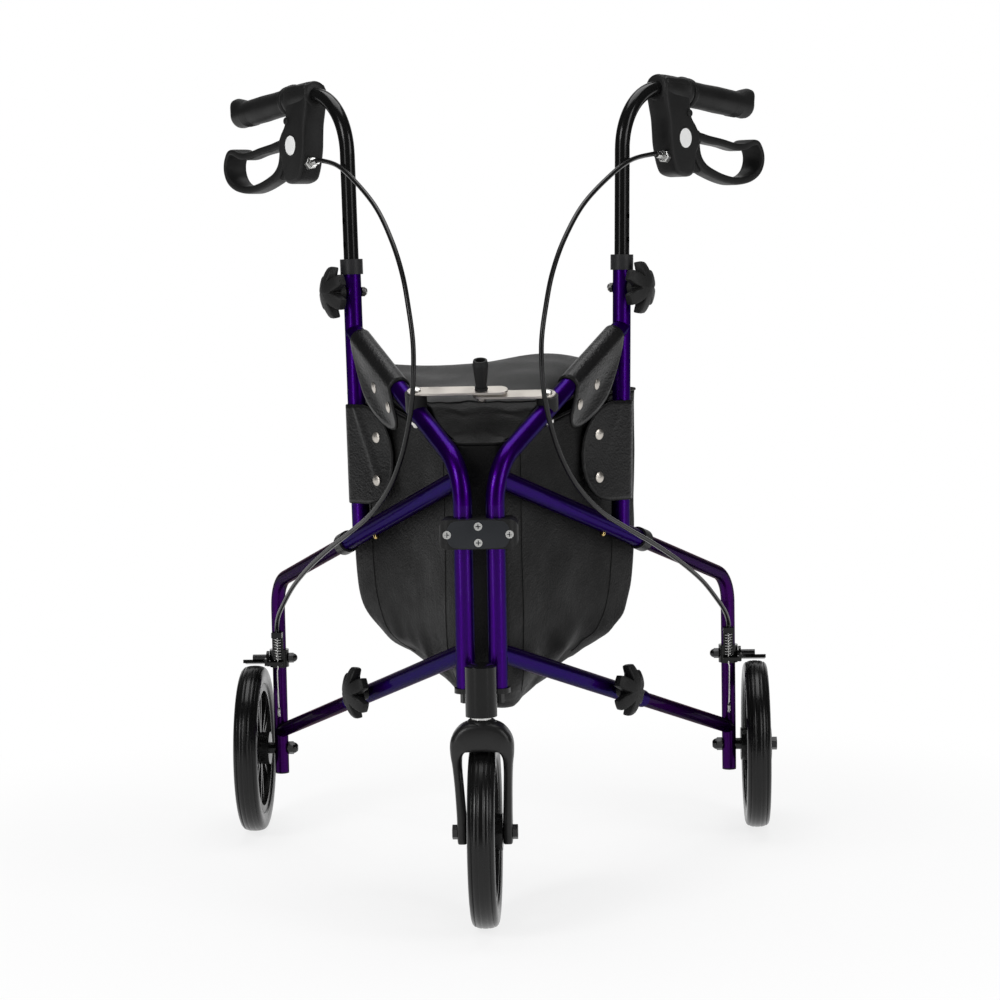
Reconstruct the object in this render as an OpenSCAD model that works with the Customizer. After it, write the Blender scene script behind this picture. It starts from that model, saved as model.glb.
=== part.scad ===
// Three wheel rollator: two folding side frames hinged on a front head with a caster fork,
// height adjusting handles with loop brakes, a toggle lock bar and a hanging bag.
// Millimetres, +Z up, the caster leads towards -Y, the origin is on the floor under the middle of the part.

/* [Frame] */
// Outer diameter of the frame tubes
tube_d = 19; // [17:0.5:22]
// Wall of the frame tubes
tube_wall = 1.5; // [1.2:0.1:2]
// Wall of the thin tubes that slide into the frame tubes
thin_wall = 1.4; // [1:0.1:2]
// Half of the angle between the two side frames
half_open = 28; // [24:0.5:32]
// Distance between the axes of the two front posts
post_spacing = 32; // [30:0.5:40]
// Distance from the front post to the rear leg, along the side frame
leg_reach = 514; // [470:1:560]
// Distance from the front post to the handle post, along the upper rail's level
handle_reach = 259; // [240:1:275]
// Backward lean of the handle post
post_lean = 2.1; // [0:0.1:4]
// Length of the handle post above the axis of the upper rail
post_len = 283; // [270:1:300]
// Height of the lower end of the front posts
post_foot_z = 241; // [236:0.5:246]
// Height where the front posts start to bend back
bend_start_z = 421; // [415:1:430]
// Bend radius of the front tubes
bend_r = 57; // [45:1:70]
// Slope of the diagonal part of the front tubes
diag_angle = 25.3; // [22:0.1:28]
// Height of the upper rail at the front post
rail_z = 449; // [440:1:455]
// Height of the lower rail at the front post
lower_rail_z = 276; // [270:1:290]
// Downward slope of both rails to the rear
rail_angle = 17.4; // [14:0.1:20]
// Length of the wide rail tubes past the handle post
rail_beyond = 43; // [37:1:71]
// Length of the thin tubes inside the rails, past the snap button
thin_end = 8; // [6:0.5:20]
// Distance of the rail knob ahead of the lower rail's rear end
knob_back = 70; // [40:1:76]
// Distance of the snap button ahead of the handle post
button_ahead = 37; // [30:1:60]
// Bend radius of the rear legs
leg_bend_r = 38; // [32:1:50]
// Height of the lower end of the rear legs
leg_foot_z = 67.5; // [55:0.5:75]
// Length of the bushes where a thin tube leaves a wide one
bush_len = 16; // [12:0.5:24]
// Wall of the bushes outside the wide tube
bush_wall = 2.5; // [1.5:0.1:4]

/* [Handles] */
// Length of the handle stem below the clamping bolt
stem_below = 71.5; // [58:0.5:100]
// Height of the centre of the handle bend above the upper rail's axis
stem_bend_z = 401; // [385:1:430]
// Radius of the handle bend
stem_bend_r = 67; // [60:1:75]
// Turn of the handle outward from the plane of the side frame
handle_splay = 9.3; // [5:0.1:14]
// Droop of the grip below square to the stem
handle_drop = 4; // [2:0.5:8]
// Distance of the clamping bolt below the top of the handle post
bolt_down = 26.5; // [22:0.5:32]
// Spacing of the height holes
hole_pitch = 25; // [20:1:30]
// Diameter of the height holes
hole_d = 7; // [6.5:0.1:9]
// Distance from the handle bend to the grip
grip_start = 40; // [36:0.5:46]
// Length of the grip
grip_len = 113; // [105:1:125]
// Diameter of the grip
grip_d = 31; // [28:0.5:36]
// Width of the brake housing
housing_w = 27.5; // [25:0.5:32]
// Width of the slot that the brake lever swings in
lever_slot = 10.8; // [9:0.1:12]
// Width of the lever's bars
lever_w = 16; // [13:0.5:20]
// Width of the lever's end paddle
paddle_w = 27; // [22:0.5:32]

/* [Wheels] */
// Diameter of all three wheels
wheel_d = 190; // [180:1:200]
// Width of the tyres
tyre_w = 27; // [24:0.5:32]
// Height of the tyre's section
tyre_h = 21; // [18:0.5:24]
// Distance of the rear wheels' middle planes outside the rear legs
wheel_out = 30.7; // [30:0.1:36]
// Diameter of the axles
axle_d = 8; // [7:0.5:10]
// Outer diameter of the wheel bearings
bearing_d = 28; // [24:0.5:31]
// Width of the wheel hubs
hub_w = 35; // [33:0.5:37]

/* [Caster] */
// Diameter of the head tube
head_d = 31; // [29:0.5:34]
// Distance of the steering axis ahead of the front posts
head_ahead = 25; // [24:0.5:30]
// Height of the lower end of the head tube
head_low_z = 217; // [215:0.5:219]
// Length of the head tube
head_len = 45; // [42:0.5:60]
// Diameter of the steering stem
steer_d = 12.6; // [11:0.1:14]
// Distance of the caster's axle behind the steering axis
trail = 31; // [26:0.5:36]
// Space between the fork's legs
fork_gap = 39; // [38:0.5:44]
// Thickness of the fork's legs
fork_leg_t = 8; // [6:0.5:10]

/* [Clamp and lock bar] */
// Middle height of the clamp that joins the posts
clamp_z = 394.5; // [385:0.5:398]
// Height of the clamp
clamp_h = 29; // [24:0.5:34]
// Width of the clamp
clamp_w = 77; // [72:0.5:84]
// Depth of the clamp
clamp_depth = 38; // [34:0.5:44]
// Distance from the front post to the lock bar's pivot
pivot_reach = 106.5; // [100:0.5:115]
// Forward tilt of the lock bar
bar_tilt = 20; // [15:0.5:24]
// Width of the lock bar
bar_w = 17; // [14:0.5:20]
// Thickness of the lock bar
bar_t = 2.2; // [2:0.1:3]

/* [Brakes] */
// Outer diameter of the brake springs
spring_d = 8; // [7:0.5:10]
// Wire diameter of the brake springs
spring_wire = 1.1; // [0.9:0.1:1.4]
// Turns in a brake spring
spring_turns = 8; // [6:1:9]
// Diameter of the brake cables
cable_d = 5; // [4:0.5:6]
// Gap between a released brake shoe and the tyre
shoe_gap = 3; // [2.5:0.1:5]

/* [Bag] */
// Height of the bag's lower seam
bag_low_z = 262; // [255:1:280]
// Height of the bag's lid
bag_top_z = 548; // [530:1:560]
// Depth of the bag behind the handle posts
bag_depth = 56; // [40:1:90]
// Gap between the bag's side panels and the flaps it hangs on
bag_gap = 0.35; // [0.3:0.05:2]

/* [Hidden] */
$fn = 48;

left = -1;
right = 1;

// Clearances
weld_gap = 0.05;
run_gap = 0.05;
slide_gap = 0.1;
free_gap = 0.4;
cut = 1;

// Straight lengths run a little way into a bend, which is a hair thinner so that the two join cleanly
lap = 0.5;
bend_slim = 0.12;

// Colours
purple = [0.16, 0.02, 0.42];
black = [0.05, 0.05, 0.055];
grey_black = [0.13, 0.13, 0.14];
steel = [0.72, 0.71, 0.68];
brass = [0.78, 0.62, 0.28];
leather = [0.09, 0.09, 0.095];

// Frame geometry that follows from the driving sizes
thin_d = tube_d - 2 * tube_wall - 2 * slide_gap;
post_x = post_spacing / 2;
rail_reach = handle_reach + rail_beyond;
bolt_z = post_len - bolt_down;
stem_low = bolt_z - stem_below;
bend_turn = 90 - diag_angle;
rail_drop = tan(rail_angle);
rail_z_at_post = rail_z - rail_drop * handle_reach;
diag_s0 = bend_r * (1 - cos(bend_turn));
diag_z0 = bend_start_z + bend_r * sin(bend_turn);
diag_len = (handle_reach - diag_s0 + tan(post_lean) * (diag_z0 - rail_z_at_post))
  / (cos(diag_angle) - tan(post_lean) * sin(diag_angle));
leg_x = post_x + leg_reach * sin(half_open);
leg_y = leg_reach * cos(half_open);
wheel_r = wheel_d / 2;
axle_z = wheel_r;
wheel_x = leg_x + wheel_out;
caster_y = trail - head_ahead;

// The origin is under the middle of the part's length, from the caster's tyre to the rear tyres
middle_y = (leg_y + caster_y) / 2;

// Placing the parts of one side
module part() translate([0, -middle_y, 0]) children();
module on_side(side) part() mirror([side == left ? 1 : 0, 0, 0]) children();
module in_frame(side) on_side(side) translate([post_x, 0, 0]) rotate([0, 0, 90 - half_open]) children();
module at_post() translate([handle_reach, 0, rail_z_at_post]) rotate([0, post_lean, 0]) children();
module at_leg(side) on_side(side) translate([leg_x, leg_y, 0]) children();
module along_rail(z) translate([0, 0, z]) rotate([0, 90 + rail_angle, 0]) children();
module at_diagonal() translate([diag_s0, 0, diag_z0]) rotate([0, bend_turn, 0]) children();
module at_grip() rotate([0, 0, -handle_splay])
  translate([stem_bend_r * (1 + sin(handle_drop)), 0, stem_bend_z + stem_bend_r * cos(handle_drop)])
  rotate([0, handle_drop, 0]) children();

// Shapes used by more than one piece
module tube(d, bore, h) difference() {
  cylinder(d = d, h = h);
  if (bore > 0) translate([0, 0, -cut]) cylinder(d = bore, h = h + 2 * cut);
}

// A bent bar that starts upwards at the origin and turns towards +X
module bend(d, r, turn) translate([r, 0, 0]) rotate([90, 0, 0]) rotate([0, 0, 180 - turn])
  rotate_extrude(angle = turn) translate([r, 0]) circle(d = d - bend_slim);

// Rounded plan of a given size, drawn round the origin
module rounded_plan(w, d, r) {
  square([w - 2 * r, d], center = true);
  square([w, d - 2 * r], center = true);
  for (x = [-1, 1], y = [-1, 1]) translate([x * (w / 2 - r), y * (d / 2 - r)]) circle(r);
}

module hex(af, h) cylinder(d = af / cos(30), h = h, $fn = 6);

// A nut with a dome, standing on z = 0
module dome_nut(af, h) {
  hex(af, h * 0.55);
  difference() {
    translate([0, 0, h * 0.5]) sphere(d = af * 0.98);
    translate([-af, -af, -af * 2 + h * 0.5]) cube([2 * af, 2 * af, 2 * af]);
    translate([-af, -af, h]) cube([2 * af, 2 * af, 2 * af]);
  }
}

// The front tube as a solid bar: post, bend and diagonal, with both ends run on by a given length
module front_path(d, on) union() {
  translate([0, 0, post_foot_z - on]) cylinder(d = d, h = bend_start_z - post_foot_z + on + lap);
  translate([0, 0, bend_start_z]) bend(d, bend_r, bend_turn);
  at_diagonal() translate([0, 0, -lap]) cylinder(d = d, h = diag_len + on + lap);
}

rail_len = rail_reach / cos(rail_angle);
module rail_solid(z, d) along_rail(z) cylinder(d = d, h = rail_len);
// The upper rail starts on the axis of the bend
rail_rise = max(0, rail_z - bend_start_z);
rail_start = (bend_r - sqrt(bend_r * bend_r - rail_rise * rail_rise)) / cos(rail_angle);
module post_solid(d) at_post() cylinder(d = d, h = post_len);

// Head, hinge plate, clamp and their screws
head_bore = head_d - 7;
bearing_w = 7;
head_top_z = head_low_z + head_len;
module at_head() part() translate([0, -head_ahead, 0]) children();

module head_tube() color(black) at_head() translate([0, 0, head_low_z]) tube(head_d, head_bore, head_len);

cap_h = 8;
module head_cap() color(grey_black) at_head() translate([0, 0, head_top_z]) {
  intersection() {
    cylinder(d = head_d, h = cap_h);
    translate([0, 0, cap_h - head_d]) sphere(r = head_d);
  }
  translate([0, 0, -cap_h / 2]) cylinder(d = head_bore - 2 * slide_gap, h = cap_h / 2);
}

ring_d = 20;
ring_h = 3;
module head_bearings() color(steel) at_head() {
  for (z = [head_low_z, head_top_z - cap_h / 2 - bearing_w - free_gap])
    translate([0, 0, z]) tube(head_bore - 2 * slide_gap, steer_d + 2 * run_gap, bearing_w);
  translate([0, 0, head_low_z - ring_h]) tube(ring_d, steer_d + 2 * run_gap, ring_h);
}

plate_t = 5;
pin_len = 60;
pin_d = tube_d - 2 * tube_wall - 2 * slide_gap;
nut_af = 10;
module hinge_plate() color(black) part() {
  translate([0, 0, post_foot_z - plate_t - slide_gap]) difference() {
    linear_extrude(plate_t) {
      for (x = [-post_x, post_x]) translate([x, 0]) circle(d = tube_d + 4);
      translate([-post_x, -tube_d / 2 - 2]) square([post_spacing, tube_d + 4]);
      translate([-head_d / 2 + 2, -head_ahead]) square([head_d - 4, head_ahead]);
    }
    translate([0, -head_ahead, -cut]) cylinder(d = head_d + 2 * weld_gap, h = plate_t + 2 * cut);
  }
  for (x = [-post_x, post_x]) translate([x, 0, 0]) {
    translate([0, 0, post_foot_z - slide_gap]) cylinder(d = pin_d, h = pin_len);
    translate([0, 0, post_foot_z - plate_t - slide_gap - nut_af]) hex(nut_af, nut_af);
  }
}

clamp_r = 10;
clamp_edge_r = 8;
clamp_y = -2;
screw_x = clamp_w / 2 - 8;
screw_z = 8;
screw_d = 4;
screw_head_d = 8;
screw_head_h = 2.4;
screw_spots = [[-screw_x, 0], [screw_x, 0], [0, screw_z], [0, -screw_z]];
clamp_front = clamp_y - clamp_depth / 2;
module post_clamp() color(black) part() difference() {
  intersection() {
    translate([0, clamp_y, clamp_z - clamp_h / 2]) linear_extrude(clamp_h)
      rounded_plan(clamp_w, clamp_depth, clamp_r);
    translate([0, clamp_y, clamp_z]) rotate([90, 0, 0]) linear_extrude(2 * clamp_depth, center = true)
      rounded_plan(clamp_w, clamp_h, clamp_edge_r);
  }
  for (x = [-post_x, post_x]) translate([x, 0, clamp_z - clamp_h])
    cylinder(d = tube_d + 2 * run_gap, h = 2 * clamp_h);
  translate([-clamp_w, -free_gap, clamp_z - clamp_h]) cube([2 * clamp_w, 2 * free_gap, 2 * clamp_h]);
  for (p = screw_spots) translate([p[0], clamp_front, clamp_z + p[1]]) rotate([-90, 0, 0]) {
    translate([0, 0, -cut]) cylinder(d = screw_d + 2 * slide_gap, h = clamp_depth - 4);
    translate([0, 0, -cut]) cylinder(d = screw_head_d + 2 * slide_gap, h = screw_head_h * 0.5 + cut);
  }
}

module clamp_screws() color(steel) part() for (p = screw_spots)
  translate([p[0], clamp_front, clamp_z + p[1]]) rotate([-90, 0, 0]) difference() {
    union() {
      cylinder(d = screw_d, h = clamp_depth - 6);
      translate([0, 0, -screw_head_h * 0.5]) cylinder(d = screw_head_d, h = screw_head_h - slide_gap);
    }
    for (a = [0, 90]) rotate([0, 0, a]) translate([-2.4, -0.5, -screw_head_h]) cube([4.8, 1, screw_head_h]);
  }

// Caster fork with its stem, axle and wheel
crown_z = head_low_z - ring_h - slide_gap;
crown_h = 46;
crown_depth = 34;
fork_w = fork_gap + 2 * fork_leg_t;
shoulder_w = 62;
shoulder_r = 20;
leg_depth = 24;
leg_top = 60;
wheel_clear = 6;
arch_r = 9;
axle_hub_d = 24;
// Front view of the fork: a round shouldered crown and two legs that draw in to the axle
module fork_front() {
  translate([0, crown_z - crown_h / 2]) rounded_plan(shoulder_w, crown_h, shoulder_r);
  polygon([[-shoulder_w / 2, crown_z - crown_h / 2], [shoulder_w / 2, crown_z - crown_h / 2],
    [fork_w / 2, axle_z + axle_hub_d / 2], [-fork_w / 2, axle_z + axle_hub_d / 2]]);
  translate([-fork_w / 2, axle_z - axle_hub_d / 2]) square([fork_w, axle_hub_d + lap]);
}
// Side view of the fork, with the legs running back to the axle
module fork_side() {
  translate([0, crown_z - crown_h / 2]) rounded_plan(crown_depth, crown_h, arch_r);
  hull() {
    translate([trail, axle_z]) circle(d = axle_hub_d);
    translate([-leg_depth / 2, crown_z - leg_top]) square([leg_depth, leg_top / 2]);
  }
}
// The space for the wheel, with a round inner edge
module wheel_space() rotate([0, 90, 0]) rotate_extrude() {
  square([wheel_r + wheel_clear - arch_r, fork_gap / 2]);
  translate([0, -fork_gap / 2]) square([wheel_r + wheel_clear - arch_r, fork_gap / 2]);
  translate([0, arch_r - fork_gap / 2]) square([wheel_r + wheel_clear, fork_gap - 2 * arch_r]);
  for (z = [-1, 1]) translate([wheel_r + wheel_clear - arch_r, z * (fork_gap / 2 - arch_r)]) circle(arch_r);
}
module fork() color(black) at_head() difference() {
  union() {
    intersection() {
      rotate([90, 0, 0]) linear_extrude(4 * trail, center = true) fork_front();
      rotate([90, 0, 90]) linear_extrude(2 * shoulder_w, center = true) fork_side();
    }
    translate([0, 0, crown_z - crown_h / 4]) cylinder(d = steer_d, h = head_len);
  }
  translate([0, trail, axle_z]) {
    wheel_space();
    rotate([0, 90, 0]) cylinder(d = axle_d + 2 * run_gap, h = 2 * shoulder_w, center = true);
  }
}

bearing_w_wheel = 8;
// Two wheel bearings set in a hub centred on the origin, with the axle along X
module wheel_bearings() for (x = [-1, 1]) translate([x * (hub_w / 2 - bearing_w_wheel / 2), 0, 0])
  rotate([0, 90, 0]) cylinder(d = bearing_d - 2 * run_gap, h = bearing_w_wheel, center = true);

front_head_h = 5;
module front_axle() color(steel) part() translate([0, caster_y, axle_z]) {
  rotate([0, 90, 0]) cylinder(d = axle_d, h = fork_w, center = true);
  for (x = [-1, 1]) translate([x * fork_w / 2, 0, 0]) rotate([0, x * 90, 0]) hex(13, front_head_h);
  wheel_bearings();
}

rim_d = wheel_d - 2 * tyre_h;
rim_h = 8;
hub_d = bearing_d + 9;
spoke_n = 6;
spoke_t = 4;
spoke_w = 14;
// A spoked rim with its axle along X
module rim() rotate([0, 90, 0]) difference() {
  union() {
    translate([0, 0, -tyre_w / 2 + 3]) tube(rim_d - 2 * weld_gap, rim_d - 2 * rim_h, tyre_w - 6);
    cylinder(d = hub_d, h = hub_w, center = true);
    for (i = [0 : spoke_n - 1]) for (lean = [-1, 1]) rotate([0, 0, i * 360 / spoke_n + lean * 9])
      translate([0, -spoke_t / 2, -spoke_w / 2]) cube([rim_d / 2 - rim_h / 2, spoke_t, spoke_w]);
  }
  cylinder(d = bearing_d, h = 2 * hub_w, center = true);
}

// A solid tyre with a crowned tread, its axle along X
tread_r = 44;
tread_edge_r = 6;
module tyre() rotate([0, 90, 0]) rotate_extrude() intersection() {
  translate([wheel_r - tyre_h / 2, 0]) rounded_plan(tyre_h, tyre_w, tread_edge_r);
  translate([wheel_r - tread_r, 0]) circle(tread_r, $fn = 96);
}

module front_rim() color(black) part() translate([0, caster_y, axle_z]) rim();
module front_tyre() color(grey_black) part() translate([0, caster_y, axle_z]) tyre();
module side_rim(side) color(black) on_side(side) translate([wheel_x, leg_y, axle_z]) rim();
module side_tyre(side) color(grey_black) on_side(side) translate([wheel_x, leg_y, axle_z]) tyre();

// Tubes of one side frame
module front_tube(side) color(purple) in_frame(side) difference() {
  front_path(tube_d, 0);
  front_path(tube_d - 2 * tube_wall, cut);
  post_solid(tube_d + 2 * weld_gap);
  pivot_hole();
}

// The lock bar's pivot lies on the diagonal, with its axis tilted forward
pivot_len = (pivot_reach - diag_s0) / cos(diag_angle);
pivot_z = diag_z0 + pivot_len * sin(diag_angle);
pivot_x = post_x + pivot_reach * sin(half_open);
pivot_y = pivot_reach * cos(half_open);
pivot_d = 5;
module pivot_hole() translate([pivot_reach, 0, pivot_z]) rotate([0, 0, half_open - 90]) rotate([bar_tilt, 0, 0])
  cylinder(d = pivot_d + 2 * slide_gap, h = 3 * tube_d, center = true);

// The height bolt lies along the frame's normal, through the handle post
module bolt_axis() at_post() translate([0, 0, bolt_z]) rotate([90, 0, 0]) children();

module handle_post(side) color(purple) in_frame(side) difference() {
  at_post() tube(tube_d, tube_d - 2 * tube_wall, post_len);
  rail_solid(rail_z, tube_d + 2 * weld_gap);
  bolt_axis() cylinder(d = knob_bolt_d + 2 * slide_gap, h = 3 * tube_d, center = true);
}

// The snap button sits under the upper rail
button_s = handle_reach - button_ahead;
button_d = 6;
module at_button() along_rail(rail_z) translate([0, 0, button_s / cos(rail_angle)])
  rotate([0, 90, 0]) children();
knob_s = rail_reach - knob_back;
module at_rail_knob() along_rail(lower_rail_z) translate([0, 0, knob_s / cos(rail_angle)])
  rotate([90, 0, 0]) children();

module rails(side) color(purple) in_frame(side) difference() {
  union() {
    along_rail(rail_z) translate([0, 0, rail_start])
      tube(tube_d, tube_d - 2 * tube_wall, rail_len - rail_start);
    along_rail(lower_rail_z) tube(tube_d, tube_d - 2 * tube_wall, rail_len);
  }
  front_path(tube_d + 2 * weld_gap, 0);
  at_button() cylinder(d = button_d + 2 * slide_gap, h = tube_d);
  at_rail_knob() cylinder(d = knob_bolt_d + 2 * slide_gap, h = 3 * tube_d, center = true);
}

leg_turn = 90 - rail_angle;
leg_bend_len = leg_bend_r * tan(leg_turn / 2);
thin_start = min(button_s, knob_s) / cos(rail_angle) - thin_end;
leg_rail_len = leg_reach / cos(rail_angle) - leg_bend_len;
leg_corner_z = rail_z - rail_drop * leg_reach - leg_bend_len;
// The rear leg as a solid bar, with both ends run on by a given length
module leg_path(d, on) union() {
  along_rail(rail_z) translate([0, 0, thin_start - on])
    cylinder(d = d, h = leg_rail_len - thin_start + on + lap);
  translate([leg_reach, 0, leg_corner_z]) mirror([1, 0, 0]) bend(d, leg_bend_r, leg_turn);
  translate([leg_reach, 0, leg_foot_z - on]) cylinder(d = d, h = leg_corner_z - leg_foot_z + on + lap);
}
module rear_leg(side) color(purple) in_frame(side) difference() {
  leg_path(thin_d, 0);
  leg_path(thin_d - 2 * thin_wall, cut);
  at_button() cylinder(d = button_d + 2 * slide_gap, h = tube_d);
  for (z = [axle_z, arm_z]) translate([leg_reach, 0, z]) rotate([0, 0, half_open - 90]) rotate([0, 90, 0])
    cylinder(d = axle_d + 2 * slide_gap, h = 3 * tube_d, center = true);
}

module rear_stay(side) color(purple) in_frame(side) difference() {
  along_rail(lower_rail_z) translate([0, 0, thin_start])
    tube(thin_d, thin_d - 2 * thin_wall, leg_reach / cos(rail_angle) - thin_start);
  translate([leg_reach, 0, 0]) cylinder(d = thin_d + 2 * weld_gap, h = rail_z);
  at_rail_knob() cylinder(d = knob_bolt_d + 2 * slide_gap, h = 3 * tube_d, center = true);
}

// A stepped bush on the end of a wide tube at the origin, with the thin tube leaving upwards
bush_d = tube_d + 2 * bush_wall;
module bush() difference() {
  translate([0, 0, -bush_len / 2]) cylinder(d = bush_d, h = bush_len);
  translate([0, 0, -bush_len]) cylinder(d = tube_d + 2 * run_gap, h = bush_len + slide_gap);
  cylinder(d = thin_d + 2 * slide_gap, h = bush_len);
}

plug_h = 8;
plug_lip = 1.5;
module bushes(side) color(grey_black) in_frame(side) {
  at_post() translate([0, 0, post_len]) bush();
  along_rail(rail_z) translate([0, 0, rail_len]) bush();
  translate([leg_reach, 0, leg_foot_z]) {
    translate([0, 0, -plug_lip]) cylinder(d = thin_d - 2 * thin_wall - 2 * slide_gap, h = plug_h);
    translate([0, 0, -plug_lip]) cylinder(d = thin_d, h = plug_lip);
  }
}

// Handle: bent stem, grip, brake housing and cable adjuster
// The stem as a solid bar, with both ends run on by a given length
module stem_path(d, on) union() {
  translate([0, 0, stem_low - on]) cylinder(d = d, h = stem_bend_z - stem_low + on + lap);
  rotate([0, 0, -handle_splay]) translate([0, 0, stem_bend_z]) bend(d, stem_bend_r, 90 + handle_drop);
  at_grip() translate([-lap, 0, 0]) rotate([0, 90, 0])
    cylinder(d = d, h = grip_start + grip_len - 6 + on + lap);
}

module stem(side) color(black) in_frame(side) at_post() difference() {
  stem_path(thin_d, 0);
  stem_path(thin_d - 2 * thin_wall, cut);
  for (i = [-2 : 3]) translate([0, 0, bolt_z + i * hole_pitch]) rotate([90, 0, 0])
    cylinder(d = hole_d, h = 3 * tube_d, center = true);
}

lip = 2.5;
flange_d = grip_d + 5;
flange_t = 4;
module grip(side) color(black) in_frame(side) at_post() at_grip() translate([grip_start, 0, 0])
  rotate([0, 90, 0]) difference() {
    union() {
      cylinder(d = flange_d, h = flange_t);
      cylinder(d = grip_d, h = grip_len - 6);
      translate([0, 0, grip_len - 14]) cylinder(d1 = grip_d, d2 = grip_d + 2 * lip, h = 10);
      translate([0, 0, grip_len - 4]) cylinder(d1 = grip_d + 2 * lip, d2 = grip_d - 4, h = 4);
    }
    translate([0, 0, -cut]) cylinder(d = thin_d + 2 * run_gap, h = grip_len - 6 + cut + slide_gap);
  }

// Side outline of the brake housing below the handle tube, from its front edge round to its rear
housing_outline = [[-12, 11], [-2, 12], [10, 12], [12, 14], [28, 14], [33, 9], [33, -16], [38, -27], [53, -41],
  [53, -58], [48, -63], [46, -86], [38, -90], [14, -90], [5, -74], [0, -60], [-3, -35], [-13, -10]];
lever_pivot = [25, -50];
pivot_pin_d = 6;
slot_top = -28;
slot_front = 6;
slot_reach = 80;
slot_depth = 100;
badge_d = 21;
badge_t = 0.8;
housing_round = 3;
adjuster_z = -72;
adjuster_n = 4;
adjuster_turn = 7;
adjuster_x = 1.5;
shank_d = 5;
shank_len = 10;
module lever_axis() translate([lever_pivot[0], 0, lever_pivot[1]]) rotate([90, 0, 0]) children();
module at_adjuster() translate([adjuster_x, -adjuster_n, adjuster_z]) rotate([0, 0, adjuster_turn])
  rotate([0, -90, 0]) children();
// Flat plates of the housing's outline, the outer ones drawn in a little for a rounded edge
module housing_slab(inset, w) rotate([90, 0, 0]) linear_extrude(w, center = true)
  offset(delta = -inset) polygon(housing_outline);
module brake_housing(side) color(black) in_frame(side) at_post() difference() {
  at_grip() union() {
    difference() {
      union() {
        housing_slab(0, housing_w - 2 * housing_round);
        housing_slab(housing_round * 0.35, housing_w - housing_round * 0.7);
        housing_slab(housing_round, housing_w);
        lever_axis() cylinder(d = badge_d, h = housing_w + 2 * badge_t, center = true);
      }
      translate([slot_front, -lever_slot / 2, -slot_depth])
        cube([slot_reach, lever_slot, slot_depth + slot_top]);
      at_adjuster() translate([0, 0, -shank_len]) cylinder(d = shank_d + 2 * slide_gap, h = 3 * shank_len);
    }
    lever_axis() cylinder(d = pivot_pin_d, h = lever_slot + 2, center = true);
  }
  stem_path(thin_d + 2 * run_gap, 0);
}

barrel_d = 9;
barrel_len = 7;
nozzle_d = 6.6;
nozzle_len = 10;
module cable_adjuster(side) color(steel) in_frame(side) at_post() at_grip() at_adjuster() {
  translate([0, 0, -shank_len + slide_gap]) cylinder(d = shank_d, h = shank_len);
  translate([0, 0, slide_gap]) difference() {
    cylinder(d = barrel_d, h = barrel_len);
    for (a = [0 : 30 : 330]) rotate([0, 0, a]) translate([barrel_d / 2 + 0.3, 0, -cut])
      cylinder(d = 1.4, h = barrel_len + 2 * cut, $fn = 16);
  }
  translate([0, 0, barrel_len]) cylinder(d = nozzle_d, h = nozzle_len);
}

// Loop lever: outer and inner outlines of the loop, and the plate that swings in the housing
loop_outer = [[57, -37], [100, -38], [138, -41], [150, -37], [160, -31], [167, -34], [175, -44], [177, -54],
  [174, -66], [166, -76], [154, -83], [132, -89], [118, -91], [100, -89], [72, -84], [57, -84]];
loop_inner = [[68, -51], [100, -52], [130, -53], [141, -55], [145, -62], [143, -69], [136, -76], [120, -77],
  [84, -72], [74, -66]];
lever_plate = [[25, -32], [40, -34], [70, -38], [72, -50], [64, -56], [62, -62], [68, -70], [74, -76],
  [70, -83], [56, -84], [40, -72], [25, -68], [12, -60], [8, -50], [12, -40]];
paddle_x = 141;
paddle_reach = 60;
module loop_shape() difference() {
  polygon(loop_outer);
  polygon(loop_inner);
}
module brake_lever(side) color(black) in_frame(side) at_post() at_grip() difference() {
  union() {
    rotate([90, 0, 0]) linear_extrude(lever_w, center = true) loop_shape();
    rotate([90, 0, 0]) linear_extrude(paddle_w, center = true) intersection() {
      loop_shape();
      translate([paddle_x, -slot_depth]) square([paddle_reach, slot_depth]);
    }
    rotate([90, 0, 0]) linear_extrude(lever_slot - 2 * free_gap, center = true) polygon(lever_plate);
  }
  lever_axis() cylinder(d = pivot_pin_d + 2 * run_gap, h = 2 * housing_w, center = true);
}

// Star knobs: six blunt lobes cut from a domed disc, with a boss and a bolt towards the tube
knob_d = 54;
knob_t = 16;
knob_lobes = 6;
knob_core_d = 30;
lobe_w = 12;
lobe_tip = 7;
knob_boss_d = 17;
knob_boss_len = 9;
knob_bolt_d = 6;
// Drawn with its face away from the tube along +Z, and the tube's axis on the origin
module star_knob(d, inner_d) {
  translate([0, 0, d / 2 + free_gap]) {
    cylinder(d = knob_boss_d, h = knob_boss_len);
    translate([0, 0, knob_boss_len - 2]) intersection() {
      rotate([0, 0, 30]) linear_extrude(knob_t + 2) {
        circle(d = knob_core_d);
        for (a = [0 : 360 / knob_lobes : 359]) rotate([0, 0, a])
          polygon([[0, -lobe_w / 2 - 2], [knob_d / 2, -lobe_tip / 2], [knob_d / 2, lobe_tip / 2],
            [0, lobe_w / 2 + 2]]);
      }
      union() {
        cylinder(d1 = knob_core_d, d2 = knob_d + 2, h = 7);
        translate([0, 0, 7]) cylinder(d1 = knob_d + 2, d2 = knob_core_d, h = knob_t - 5);
      }
    }
  }
  translate([0, 0, inner_d / 2 + free_gap])
    cylinder(d = knob_bolt_d, h = (d - inner_d) / 2 + knob_boss_len);
}
module height_knob(side) color(black) in_frame(side) bolt_axis() star_knob(tube_d, thin_d);
module rail_knob(side) color(black) in_frame(side) at_rail_knob() star_knob(tube_d, thin_d);

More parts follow.
